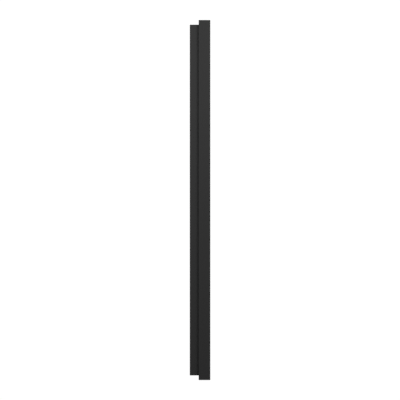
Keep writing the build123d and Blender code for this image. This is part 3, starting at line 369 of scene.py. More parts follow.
@dataclass(frozen=True)
class Banded(Finish):
    """Metal in bands, such as laminations or fin edges, with their phase a metre along each axis."""

    colour: Colour
    band: Colour
    phase: Point
    gloss: Span
    metal: float
    scuffs: float = 180.0
    depth: float = 0.00008

    def shade(self, bench: Bench) -> Wire:
        """Bands the surface by sin(phase . p) / 2 + 1 / 2, roughened by scuffs.

        Args:
            bench: the material's bench.

        Returns:
            The shader.
        """
        where = bench.place()
        dot = {"operation": "DOT_PRODUCT"}
        angle = bench.node("ShaderNodeVectorMath", dot, {0: where, 1: self.phase}, "Value")
        band = angle.sine().between(0.5, 1.0)
        scuff = bench.noise(where, self.scuffs)
        return bench.surface(
            Base_Color=bench.blend((band * 0.7 + scuff * 0.3).limited(), self.colour, self.band),
            Roughness=scuff.between(*self.gloss),
            Metallic=self.metal,
            Normal=bench.bump(band, self.depth),
        )


@dataclass(frozen=True)
class BoardLacquer(Finish):
    """Printed circuit board: green lacquer over copper tracks, with tinned pads.

    Tracks and pads are patterns of cells, each with the value that a cell has to be over to be one.
    """

    lacquer: Colour = (0.012, 0.09, 0.035)
    track: Colour = (0.03, 0.17, 0.06)
    pad: Colour = (0.55, 0.54, 0.5)
    tracks: Span = (160.0, 0.55)
    pads: Span = (330.0, 0.93)
    gloss: Span = (0.38, 0.26)
    depth: float = 0.00003

    def shade(self, bench: Bench) -> Wire:
        """Lays tracks and pads in random cells.

        Args:
            bench: the material's bench.

        Returns:
            The shader.
        """
        track = bench.cells(bench.place(), self.tracks[0]).above(self.tracks[1])
        pad = bench.cells(bench.place((1.0, 1.0, 1.3)), self.pads[0]).above(self.pads[1])
        green = bench.blend(track, self.lacquer, self.track)
        return bench.surface(
            Base_Color=bench.blend(pad, green, self.pad),
            Roughness=pad.between(*self.gloss),
            Metallic=pad,
            Normal=bench.bump(track, self.depth),
        )


@dataclass(frozen=True)
class Glowing(Finish):
    """A lit translucent piece: its glow is strongest where the light behind it clusters."""

    colour: Colour
    dim: Colour
    bright: Colour
    clusters: float
    strength: float
    edge: Span = (0.3, 0.7545)
    gloss: Span = (0.3, 0.45)

    def shade(self, bench: Bench) -> Wire:
        """Lights the piece in clusters.

        Args:
            bench: the material's bench.

        Returns:
            The shader.
        """
        cloud = bench.noise(bench.place(), self.clusters)
        return bench.surface(
            Base_Color=(*self.colour, 1.0),
            Roughness=cloud.between(*self.gloss),
            Emission_Color=bench.blend(cloud.ramp(*self.edge), self.dim, self.bright),
            Emission_Strength=self.strength,
        )


@dataclass(frozen=True)
class EdgeLit(Finish):
    """Acrylic lit from below: it glows at its top's height and fades to smoke down its edges."""

    top: float
    fade: float = 0.006
    smoke: Colour = (0.030, 0.012, 0.006)
    dim: Colour = (0.22, 0.016, 0.002)
    bright: Colour = (1.0, 0.20, 0.015)
    strength: float = 1.2
    clusters: float = 34.0
    edge: Span = (0.32, 0.7046)
    gloss: Span = (0.25, 0.35)

    def shade(self, bench: Bench) -> Wire:
        """Lights the top, with a glow that falls as (1 + (z - top) / fade)^2 below it.

        Args:
            bench: the material's bench.

        Returns:
            The shader.
        """
        where = bench.place()
        height = bench.node("ShaderNodeSeparateXYZ", {}, {0: where}, "Z")
        lit = height.ramp(self.top - self.fade, self.top) ** 2.0
        cloud = bench.noise(where, self.clusters).ramp(*self.edge)
        glow = bench.blend(cloud, self.dim, self.bright)
        return bench.surface(
            Base_Color=bench.blend(cloud, self.smoke, self.dim),
            Roughness=cloud.between(*self.gloss),
            Emission_Color=bench.blend(lit, DARK, glow),
            Emission_Strength=self.strength,
        )


@dataclass(frozen=True)
class ClearGlass(Finish):
    """Coated front glass: its low refractive index keeps the room's reflection off the fire."""

    tint: Colour = (0.92, 0.94, 0.93)
    clean: Colour = (0.96, 0.97, 0.965)
    smears: float = 6.0
    index: float = 1.04

    def shade(self, bench: Bench) -> Wire:
        """Makes glass to the eye, and a clear sheet to the lamps.

        Args:
            bench: the material's bench.

        Returns:
            The shader.
        """
        smear = bench.noise(bench.place(), self.smears)
        glass = bench.surface(
            Base_Color=bench.blend(smear, self.tint, self.clean),
            Roughness=0.0,
            IOR=self.index,
            Transmission_Weight=1.0,
        )
        return bench.mixed(bench.ray("Shadow"), glass, bench.clear(self.tint))


@dataclass(frozen=True)
class FlameLight(Finish):
    """The flame picture as it falls on the screen: a dark film that shines in the mesh's own colours."""

    strength: float = 1.3
    film: Colour = (0.006, 0.005, 0.005)
    haze: Colour = (0.009, 0.008, 0.007)
    clouds: float = 30.0
    gloss: Span = (0.5, 0.6)

    def shade(self, bench: Bench) -> Wire:
        """Shines in the colours kept at the mesh's points.

        Args:
            bench: the material's bench.

        Returns:
            The shader.
        """
        haze = bench.noise(bench.place(), self.clouds)
        return bench.surface(
            Base_Color=bench.blend(haze, self.film, self.haze),
            Roughness=haze.between(*self.gloss),
            Specular_IOR_Level=0.1,
            Emission_Color=bench.kept("fire_colour", "Color"),
            Emission_Strength=self.strength,
        )


@dataclass(frozen=True)
class Coal(Finish):
    """Cast resin coals: black and ashen above, glowing in the hollows between them.

    The edge is that of the ash, and warmth is what multiplies the heat between hot patches and in one.
    """

    black: Colour = (0.010, 0.009, 0.009)
    ash: Colour = (0.16, 0.15, 0.14)
    glow: Colour = (1.0, 0.16, 0.012)
    strength: float = 1.6
    grains: float = 130.0
    edge: Span = (0.41667, 0.83333)
    patches: float = 24.0
    warmth: Span = (-0.2, 1.4)
    pits: float = 420.0
    depth: float = 0.0004
    gloss: Span = (0.7, 0.9)

    def shade(self, bench: Bench) -> Wire:
        """Glows by the heat and whitens by the ash that are kept at the mesh's points.

        Args:
            bench: the material's bench.

        Returns:
            The shader.
        """
        where = bench.place()
        dust = bench.noise(where, self.grains)
        patch = bench.noise(where, self.patches)
        heat = (bench.kept("ember_heat") * patch.between(*self.warmth)).limited()
        powder = dust.ramp(*self.edge) * (1.0 - heat)
        return bench.surface(
            Base_Color=bench.blend(powder * bench.kept("ash"), self.black, self.ash),
            Roughness=dust.between(*self.gloss),
            Specular_IOR_Level=0.3,
            Emission_Color=bench.blend(heat**1.7, DARK, self.glow),
            Emission_Strength=self.strength,
            Normal=bench.bump(bench.noise(where, self.pits), self.depth),
        )


@dataclass(frozen=True)
class Bark(Finish):
    """Charred driftwood: streaked bark, hollows black with char and painted shade, and sawn ends with
    rings.

    Attributes:
        deep: the bark's hollows, darkened partly by painted shade.
        ridge: the bark's ridges, lighter than the hollows partly by painted light.
        bare: the edge of the ridges in the bark's height.
        cut: the sawn wood.
        ring: the rings in it.
        phase: the rings' phase at the bark, in radians.
        streaks: streaks across the grain.
        along: the streaks' scale on each axis.
        depth: a streak's depth.
        gloss: the roughness, by the streaks.
        patches: charred patches.
        edge: the edge of the char.
    """

    deep: Colour = (0.010, 0.008, 0.007)
    ridge: Colour = (0.22, 0.17, 0.13)
    bare: Span = (0.5, 0.95455)
    cut: Colour = (0.34, 0.22, 0.12)
    ring: Colour = (0.12, 0.065, 0.03)
    phase: float = 62.0
    streaks: float = 420.0
    along: Point = (0.09, 1.0, 1.0)
    depth: float = 0.0006
    gloss: Span = (0.92, 0.67)
    patches: float = 30.0
    edge: Span = (0.40625, 0.71875)

    def shade(self, bench: Bench) -> Wire:
        """Colours the wood by its bark's height, which paints shade into the hollows, by its end marks and
        by the distance from its pith.

        Args:
            bench: the material's bench.

        Returns:
            The shader.
        """
        streak = bench.noise(bench.place(self.along), self.streaks)
        char = bench.noise(bench.place((0.5, 1.0, 1.0)), self.patches).ramp(*self.edge)
        # Painted shade: the lower the bark lies, the darker its colour, along with the streaks and the
        # char.
        height = bench.kept("bark").ramp(*self.bare)
        light = (height * 0.8 + (streak - 0.4) * 1.6).limited() * (1.0 - 0.8 * char)
        bark = bench.blend(light, self.deep, self.ridge)
        rings = (bench.kept("pith") * self.phase + streak * 3.0).sine().between(0.5, 1.0)
        sawn = bench.blend(rings, self.cut, self.ring)
        return bench.surface(
            Base_Color=bench.blend(bench.kept("sawn"), bark, sawn),
            Roughness=streak.between(*self.gloss),
            Specular_IOR_Level=0.25,
            Normal=bench.bump(streak, self.depth),
        )


def grey(level: float) -> Colour:
    """A plain grey."""
    return (level, level, level)


POWDER = Grained(
    "powder_coat", grey(0.0210), grey(0.0278), 300.0,
    gloss=(0.62, 0.76), tooth=0.00012, pitch=1100.0, specular=0.12,
)
# Painted light: the chassis wears the surround's black powder coat painted lighter, to make up for the
# shade that the taller surround casts on it.
CHASSIS_COAT_LIGHTENED = Grained(
    "chassis_coat", grey(0.0244), grey(0.0336), 180.0,
    gloss=(0.62, 0.8), tooth=0.00012, pitch=800.0, specular=0.12,
)
LINER = Grained("liner_paint", grey(0.011), (0.018, 0.017, 0.016), 140.0, gloss=(0.34, 0.46), specular=0.35)
ZINC = Grained(
    "zinc_plate", (0.30, 0.31, 0.33), grey(0.47), 260.0, (0.12, 1.0, 1.0), (0.26, 0.42), 1.0, 0.00002, 900.0
)
RUBBER = Grained("gasket_foam", grey(0.010), grey(0.022), 500.0, gloss=(0.8, 0.95), tooth=0.0001)
BLACK_PLASTIC = Grained(
    "moulded_black", (0.013, 0.013, 0.014), (0.020, 0.020, 0.021), 220.0, gloss=(0.38, 0.5)
)
FROST = Grained("frosted_acrylic", (0.16, 0.15, 0.14), (0.22, 0.21, 0.20), 90.0, gloss=(0.5, 0.65))
STENCIL = Grained("stencil_black", grey(0.008), grey(0.014), 200.0, gloss=(0.7, 0.85))
AMBER = Grained(
    "amber_foil", (0.62, 0.24, 0.05), (0.80, 0.36, 0.09), 40.0,
    gloss=(0.2, 0.34), metal=0.85, tooth=0.0002, pitch=90.0,
)
FOIL = Grained(
    "rotor_foil", (0.80, 0.79, 0.77), (0.92, 0.91, 0.89), 60.0,
    gloss=(0.06, 0.16), metal=1.0, tooth=0.0004, pitch=140.0,
)
MOTOR = Grained(
    "motor_can", (0.30, 0.30, 0.31), (0.44, 0.44, 0.45), 150.0, (0.3, 1.0, 1.0), (0.3, 0.45), 1.0
)
BRONZE = Grained(
    "sintered_bronze", (0.42, 0.25, 0.09), (0.56, 0.35, 0.15), 700.0,
    gloss=(0.4, 0.55), metal=1.0, tooth=0.00008,
)
ALLOY = Grained("fan_alloy", (0.60, 0.61, 0.62), grey(0.76), 200.0, (1.0, 0.2, 0.2), (0.25, 0.4), 1.0)
CERAMIC = Grained(
    "heater_ceramic", (0.66, 0.63, 0.56), (0.78, 0.75, 0.69), 160.0, gloss=(0.6, 0.75), tooth=0.00008
)
CUTOUT = Grained(
    "cutout_metal", (0.50, 0.49, 0.47), (0.68, 0.67, 0.64), 300.0, gloss=(0.22, 0.36), metal=1.0
)
RELAY = Grained("relay_case", (0.012, 0.045, 0.17), (0.018, 0.06, 0.21), 260.0, gloss=(0.3, 0.4))
SLEEVE = Grained("capacitor_sleeve", (0.012, 0.014, 0.030), (0.020, 0.022, 0.045), 300.0, gloss=(0.18, 0.3))
TERMINAL = Grained("terminal_nylon", (0.52, 0.51, 0.46), (0.62, 0.61, 0.56), 240.0, gloss=(0.4, 0.55))
NYLON = Grained("gland_nylon", grey(0.015), grey(0.026), 320.0, gloss=(0.45, 0.6), tooth=0.00007)
GRILLE = Grained(
    "grille_coat", grey(0.018), grey(0.026), 300.0, gloss=(0.5, 0.64), pitch=1100.0, specular=0.25
)
FASCIA = Grained(
    "fascia_gloss", (0.009, 0.009, 0.010), (0.012, 0.012, 0.013), 90.0,
    gloss=(0.10, 0.18), tooth=0.00001, coat=0.4,
)
BUTTON = Grained("button_satin", (0.028, 0.028, 0.030), (0.036, 0.036, 0.038), 260.0, gloss=(0.34, 0.44))
LENS = Grained(
    "receiver_tint", (0.035, 0.003, 0.004), (0.05, 0.005, 0.006), 120.0,
    gloss=(0.04, 0.09), tooth=0.00001, coat=0.6,
)
SWITCH = Grained("switch_body", (0.05, 0.05, 0.055), (0.07, 0.07, 0.075), 400.0, gloss=(0.4, 0.55))
ROCKER = Grained(
    "rocker_gloss", (0.011, 0.011, 0.012), (0.016, 0.016, 0.017), 150.0, gloss=(0.16, 0.26), tooth=0.00001
)
STEEL = Grained("pivot_steel", (0.52, 0.52, 0.53), grey(0.64), 400.0, (0.2, 1.0, 1.0), (0.2, 0.32), 1.0)
GALVANISED = Spangled("galvanised_sheet", (0.44, 0.46, 0.48), (0.66, 0.67, 0.68))
FINS = Banded("heater_fins", (0.30, 0.30, 0.31), grey(0.66), (2600.0, 0.0, 0.0), (0.3, 0.5), 1.0)
CORE = Banded(
    "transformer_core", (0.16, 0.15, 0.14), (0.30, 0.29, 0.28), (0.0, 0.0, 5200.0), (0.42, 0.62), 0.7
)
BOARD = BoardLacquer("board_lacquer")
CHIP = Glowing("light_chip", (0.8, 0.7, 0.4), (0.9, 0.45, 0.10), (1.0, 0.70, 0.28), 300.0, 2.0)
DOT = Glowing("indicator_dot", grey(0.6), (0.55, 0.60, 0.66), (0.80, 0.86, 0.95), 900.0, 0.9)
EMBER_ACRYLIC = EdgeLit("ember_acrylic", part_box("ember_tray")[1][2])
GLASS = ClearGlass("front_glass")
FLAMES = FlameLight("flame_film")
COALS = Coal("ember_coal")
LOG_BARK = Bark("log_bark")
BRANCH_BARK = Bark("branch_bark", ridge=(0.30, 0.25, 0.20))


class Paintbox:
    """Makes each finish once and puts it on CAD nodes and new pieces."""

    def __init__(self) -> None:
        """Starts with nothing made."""
        self.made: dict[str, bpy.types.Material] = {}

    def material(self, finish: Finish) -> bpy.types.Material:
        """Makes a finish's material on first use.

        Args:
            finish: the finish.

        Returns:
            Its material.
        """
        if finish.name not in self.made:
            bench, self.made[finish.name] = Bench.material(finish.name)
            bench.finish(finish.shade(bench))
        return self.made[finish.name]

    def dress(self, finish: Finish, nodes: Sequence[str]) -> None:
        """Puts a finish on CAD nodes.

        Args:
            finish: the finish.
            nodes: the nodes' names.
        """
        for name in nodes:
            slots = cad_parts[name].data.materials
            slots.clear()
            slots.append(self.material(finish))
        LOG.info("%s on %s", finish.name, ", ".join(nodes))


def points_at(x: Any, y: Any, z: Any) -> np.ndarray:
    """Points from arrays or numbers of their coordinates, spread to one shape."""
    return np.stack(np.broadcast_arrays(x, y, z), axis=-1)


def around(sides: int) -> np.ndarray:
    """Even angles around a circle."""
    return np.linspace(0.0, 2.0 * np.pi, sides, endpoint=False)


@dataclass(frozen=True)
class ValueNoise:
    """Smooth noise over three dimensions, made from a hashed lattice.

    Attributes:
        seed: what makes it its own.
        octaves: the number of layers.
    """

    seed: float
    octaves: int

    def hashed(self, cell: np.ndarray) -> np.ndarray:
        """frac(43758.5453 sin(127.1 i + 311.7 j + 74.7 k + 19.19 seed)) at lattice cells."""
        angle = cell @ np.array([127.1, 311.7, 74.7]) + 19.19 * self.seed
        return np.mod(np.sin(angle) * 43758.5453, 1.0)

    def smooth(self, points: np.ndarray) -> np.ndarray:
        """One octave: lattice values joined with the weights w = t^2 (3 - 2 t).

        Args:
            points: an array of points, three numbers each.

        Returns:
            A value from nought to one for each point.
        """
        cell = np.floor(points)
        part = points - cell
        weight = part * part * (3.0 - 2.0 * part)
        total = np.zeros(points.shape[:-1])
        for corner in np.ndindex(2, 2, 2):
            share = np.where(np.array(corner) == 1, weight, 1.0 - weight).prod(axis=-1)
            total += share * self.hashed(cell + np.array(corner))
        return total

    def __call__(self, points: np.ndarray) -> np.ndarray:
        """The octaves' mean, each twice as fine and half as strong as the last, from nought to one."""
        layers = [self.smooth(points * 2.0**i + 7.3 * i) * 0.5**i for i in range(self.octaves)]
        return sum(layers) / (2.0 - 0.5 ** (self.octaves - 1))


@dataclass
class Surface:
    """A mesh held as arrays.

    Attributes:
        points: the points, three numbers each.
        faces: faces as arrays of point numbers, one array for each count of corners.
        values: numbers or colours at the points, by name.
    """

    points: np.ndarray
    faces: list[np.ndarray]
    values: dict[str, np.ndarray] = field(default_factory=dict)

    @classmethod
    def tube(cls, rings: np.ndarray, **values: np.ndarray) -> "Surface":
        """A closed tube: rings joined as a sheet that wraps round, with a pole at each end ring's middle.

        Args:
            rings: points by ring and side, each ring turning left about the way along.
            values: numbers by ring and side; a pole takes its ring's mean.

        Returns:
            The tube.
        """
        count, sides = rings.shape[:2]
        index = np.arange(count * sides).reshape(count, sides)
        turned = np.roll(index, -1, axis=1)
        quads = np.stack([index[:-1], turned[:-1], turned[1:], index[1:]], axis=-1).reshape(-1, 4)
        start, end = np.full(sides, count * sides), np.full(sides, count * sides + 1)
        fans = [np.stack([start, turned[0], index[0]], -1), np.stack([end, index[-1], turned[-1]], -1)]
        poles = rings[[0, -1]].mean(axis=1)
        kept = {n: np.concatenate([v.ravel(), v[[0, -1]].mean(axis=1)]) for n, v in values.items()}
        return cls(np.concatenate([rings.reshape(-1, 3), poles]), [quads, np.concatenate(fans)], kept)

    @classmethod
    def joined(cls, parts: Sequence["Surface"]) -> "Surface":
        """Joins surfaces that keep values of the same names.

        Args:
            parts: the surfaces.

        Returns:
            All of them as one.
        """
        starts = np.cumsum([0] + [len(p.points) for p in parts[:-1]])
        faces = [f + start for p, start in zip(parts, starts) for f in p.faces]
        values = {n: np.concatenate([p.values[n] for p in parts]) for n in parts[0].values}
        return cls(np.concatenate([p.points for p in parts]), faces, values)

    def mesh(self, name: str, material: bpy.types.Material, smooth: bool) -> bpy.types.Object:
        """Makes an object of the surface.

        Args:
            name: the object's name.
            material: its material.
            smooth: whether its faces shade smoothly.

        Returns:
            The object.
        """
        mesh = bpy.data.meshes.new(name)
        mesh.from_pydata(self.points.tolist(), [], [f for group in self.faces for f in group.tolist()])
        for key, value in self.values.items():
            flat = np.ascontiguousarray(value, np.float32).ravel()
            if value.ndim == 2:
                layer = mesh.color_attributes.new(name=key, type="FLOAT_COLOR", domain="POINT")
                layer.data.foreach_set("color", flat)
            else:
                layer = mesh.attributes.new(name=key, type="FLOAT", domain="POINT")
                layer.data.foreach_set("value", flat)
        mesh.polygons.foreach_set("use_smooth", np.full(len(mesh.polygons), smooth))
        mesh.materials.append(material)
        made = bpy.data.objects.new(name, mesh)
        bpy.context.scene.collection.objects.link(made)
        LOG.info("%s: %d points, %d faces", name, len(mesh.vertices), len(mesh.polygons))
        return made

    def piece(
        self, name: str, body: Body, slot: Slot, material: bpy.types.Material, smooth: bool = True
    ) -> bpy.types.Object:
        """Makes the surface a piece of the fireplace.

        Args:
            name: the piece's name.
            body: the body that it rides on.
            slot: the record's finish for it; not used.
            material: its material.
            smooth: whether its faces shade smoothly.

        Returns:
            The piece.
        """
        made = self.mesh(name, material, smooth)
        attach(made, body.value)
        return made


@dataclass
class Assembly:
    """A sub-assembly of the fireplace.

    Attributes:
        paint: the finishes.
        wears: the CAD nodes that each finish goes on.
    """

    paint: Paintbox
    wears: ClassVar[Mapping[Finish, Sequence[str]]] = {}

    def build(self) -> None:
        """Dresses the CAD nodes; an assembly with new pieces goes on to add them."""
        for finish, nodes in self.wears.items():
            self.paint.dress(finish, nodes)


class Casing(Assembly):
    """The outside: powder-coated surround, folded chassis, glass, and what hangs them on the wall."""

    wears = {
        POWDER: ["front_frame"],
        # The chassis and its hanger rail take the lightened coat, where painted light makes up for the
        # surround's shade.
        CHASSIS_COAT_LIGHTENED: ["rear_chassis", "hanger_rail"],
        GLASS: ["glass_pane"],
        RUBBER: ["glass_gasket"],
        ZINC: [
            "wall_rail", "hanger_rivets", "hook_pins", "chassis_screws",
            "frame_hooks", "glass_clips", "clip_studs",
        ],
    }


class LightEngine(Assembly):
    """What makes the flames: lamps, stencil, reflector and turning rotors, behind the painted liner."""

    wears = {
        LINER: ["firebox_liner"],
        BOARD: ["led_boards"],
        CHIP: ["light_chips"],
        STENCIL: ["flame_stencil"],
        AMBER: ["back_reflector"],
        FOIL: ["flame_rotor_left", "flame_rotor_right"],
        MOTOR: ["rotor_motors"],
        BRONZE: ["shaft_bushes"],
        ZINC: ["motor_brackets", "centre_bracket"],
    }


class Heater(Assembly):
    """The crossflow fan, its motor and housing, the heating element and the outlet."""

    wears = {
        ALLOY: ["blower_wheel"],
        MOTOR: ["blower_motor"],
        ZINC: ["blower_ends"],
        GALVANISED: ["blower_housing", "blower_tongue", "outlet_duct"],
        FINS: ["heater_core"],
        CERAMIC: ["heater_caps"],
        CUTOUT: ["thermal_cutout"],
        GRILLE: ["outlet_grille"],
    }


class Electrics(Assembly):
    """The control board and the mains entry."""

    wears = {
        BOARD: ["control_board", "button_board"],
        ZINC: ["board_standoffs"],
        RELAY: ["board_relays"],
        CORE: ["board_transformer"],
        SLEEVE: ["board_capacitors"],
        TERMINAL: ["terminal_block"],
        NYLON: ["cable_gland", "gland_nut"],
    }


@dataclass
class ControlPanel(Assembly):
    """The fascia, its buttons with a lit dot each, the remote's lens and the mains rocker.

    Attributes:
        radius: a dot's radius.
        proud: how far a dot's crown stands out of its button.
        crown: how far the dome rises to its crown, in radians.
        sunk: how deep a dot's back lies in its button.
        back: the back's share of the radius.
        rings: rings from a dot's rim to its crown.
        sides: points around a dot.
    """

    radius: float = 0.0014
    proud: float = 0.00014
    crown: float = 0.45 * math.pi
    sunk: float = 0.0002
    back: float = 0.96
    rings: int = 5
    sides: int = 24
    wears = {
        FASCIA: ["control_fascia"],
        BUTTON: [body.value for body in Body.buttons()],
        LENS: ["receiver_lens"],
        SWITCH: ["button_switches"],
        ROCKER: ["rocker_socket", "rocker_key"],
        STEEL: ["rocker_pin"],
    }

    def dot(self, body: Body) -> None:
        """A domed dot: rings of radius r cos(t) at depth -proud sin(t), closed at the crown and behind.

        Args:
            body: the button that it sits on.
        """
        low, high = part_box(body.value)
        middle = np.array([(low[0] + high[0]) / 2, low[1], (low[2] + high[2]) / 2])
        t = np.linspace(0.0, self.crown, self.rings)
        radius = self.radius * np.concatenate([[self.back], np.cos(t)])[:, None]
        depth = np.concatenate([[self.sunk], -self.proud * np.sin(t)])[:, None]
        angle = around(self.sides)
        rings = middle + points_at(radius * np.cos(angle), depth, radius * np.sin(angle))
        Surface.tube(rings).piece(f"{body.value}_dot", body, Slot.LIGHT, self.paint.material(DOT))

    def build(self) -> None:
        """Dresses the panel and adds the dots."""
        super().build()
        for body in Body.buttons():
            self.dot(body)


@dataclass
class FlameScreen(Assembly):
    """The frosted screen and the flames that fall on it.

    Attributes:
        columns: points across the picture.
        rows: points up the picture.
        inset: how far the picture stays inside the screen's ends and its long edges.
        film: how far it lies in front of the screen.
        base: the height of the flames' roots above the picture's foot.
        seed: what the random draws grow from.
        tongues: the number of flames.
        fill: the share of the picture's width that their roots take up.
        tall: the least and greatest height of a flame.
        wide: the least and greatest half width of a flame.
        swells: swells of height a metre.
        vigour: the least and greatest random factor on a swell.
        stray: how far a root may leave its even place.
        lean: how far a flame's tip leans, as a standard deviation.
        curl: how far eddies bend the flames, and the height from which they do so fully.
        eddies: eddies a metre, across and up.
        streaks: streaks a metre, across and up.
        glow: the strength and the height of the glow over the bed.
    """

    columns: int = 640
    rows: int = 130
    inset: Span = (0.0004, 0.006)
    film: float = 0.0002
    base: float = 0.018
    seed: int = 11
    tongues: int = 58
    fill: float = 0.97
    tall: Span = (0.07, 0.25)
    wide: Span = (0.016, 0.040)
    swells: float = 3.1
    vigour: Span = (0.55, 1.25)
    stray: float = 0.014
    lean: float = 0.018
    curl: Span = (0.034, 0.08)
    eddies: Span = (16.0, 11.0)
    streaks: Span = (52.0, 9.0)
    glow: Span = (0.75, 0.022)
    wears = {FROST: ["flame_screen"], BLACK_PLASTIC: ["screen_channels"]}

    def heat(self, across: np.ndarray, up: np.ndarray) -> np.ndarray:
        """How bright the fire is at each point.

        With t = up / tall, each tongue gives exp(-((x - root - sway) / w)^2) (1 - t)^0.7, where
        w = wide (0.3 + 2.2 t)^0.5 (1 - t)^0.85, and they join as 1 - product(1 - 0.8 tongue). Streaks of
        noise stripe them, and the bed's glow falls off as exp(-up / height).

        Args:
            across: distance from the middle.
            up: height above the flames' roots.

        Returns:
            A value from nought to one at each point.
        """
        rng = np.random.default_rng(self.seed)
        each = (self.tongues, 1, 1)
        reach = np.abs(across).max() * self.fill
        root = np.linspace(-reach, reach, self.tongues).reshape(each)
        root = root + rng.uniform(-self.stray, self.stray, each)
        swell = ValueNoise(3.0, 2)(points_at(root * self.swells, 0.0, 0.0))
        rise = np.clip(0.15 + 0.95 * swell * rng.uniform(*self.vigour, each), 0.0, 1.0)
        tall = np.interp(rise, (0.0, 1.0), self.tall)
        wide = np.interp(rng.uniform(0.2, 1.0, each), (0.0, 1.0), self.wide)
        phase = rng.uniform(0.0, TURN, each)
        lean = rng.normal(0.0, self.lean, each)
        eddy = ValueNoise(8.0, 3)(points_at(across * self.eddies[0], up * self.eddies[1], 0.0)) - 0.5
        bent = across + self.curl[0] * eddy * np.clip(up / self.curl[1], 0.0, 1.0)
        t = np.clip(up / tall, 0.0, 1.0)
        sway = lean * t**2 + 0.5 * wide * t * np.sin(5.0 * t + phase)
        half = wide * (0.3 + 2.2 * t) ** 0.5 * (1.0 - t) ** 0.85 + 1e-5
        tongue = np.exp(-(((bent - root - sway) / half) ** 2)) * (1.0 - t) ** 0.7
        fire = 1.0 - np.prod(1.0 - 0.8 * tongue, axis=0)
        streak = ValueNoise(5.0, 3)(points_at(bent * self.streaks[0], up * self.streaks[1], 0.0))
        bed = self.glow[0] * np.exp(-np.clip(up, 0.0, None) / self.glow[1])
        return np.clip(fire * (0.45 + 0.8 * streak) + bed * (0.5 + 0.5 * streak), 0.0, 1.0)

    @staticmethod
    def colours(heat: np.ndarray) -> np.ndarray:
        """Colours the flame from black through red and orange to yellow.

        Args:
            heat: values from nought to one.

        Returns:
            A colour with its opacity for each.
        """
        stops = [0.0, 0.12, 0.32, 0.55, 0.8, 1.0]
        red = np.interp(heat, stops, [0.001, 0.06, 0.48, 0.92, 1.0, 1.0])
        green = np.interp(heat, stops, [0.0003, 0.004, 0.060, 0.22, 0.44, 0.72])
        blue = np.interp(heat, stops, [0.0002, 0.0005, 0.003, 0.010, 0.045, 0.18])
        return np.stack([red, green, blue, np.ones_like(red)], axis=-1)

    def build(self) -> None:
        """Lays the picture on the screen as a thin closed film.

        Its section at x is a loop of points (y, z): down the front, which shines, and up the dark back.
        """
        super().build()
        low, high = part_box("flame_screen")
        x = np.linspace(low[0] + self.inset[0], high[0] - self.inset[0], self.columns)
        z = np.linspace(high[2] - self.inset[1], low[2] + self.inset[1], self.rows)
        fire = self.heat(*np.meshgrid(x, z - z[-1] - self.base, indexing="ij"))
        loop_y = low[1] - np.concatenate([np.full(self.rows, self.film), np.full(2, self.film / 4)])
        loop_z = np.concatenate([z, z[[-1, 0]]])
        film = Surface.tube(points_at(x[:, None], loop_y, loop_z), heat=np.pad(fire, ((0, 0), (0, 2))))
        film.values = {"fire_colour": self.colours(film.values["heat"])}
        film.piece("flame_picture", Body.CHASSIS, Slot.SCREEN, self.paint.material(FLAMES))


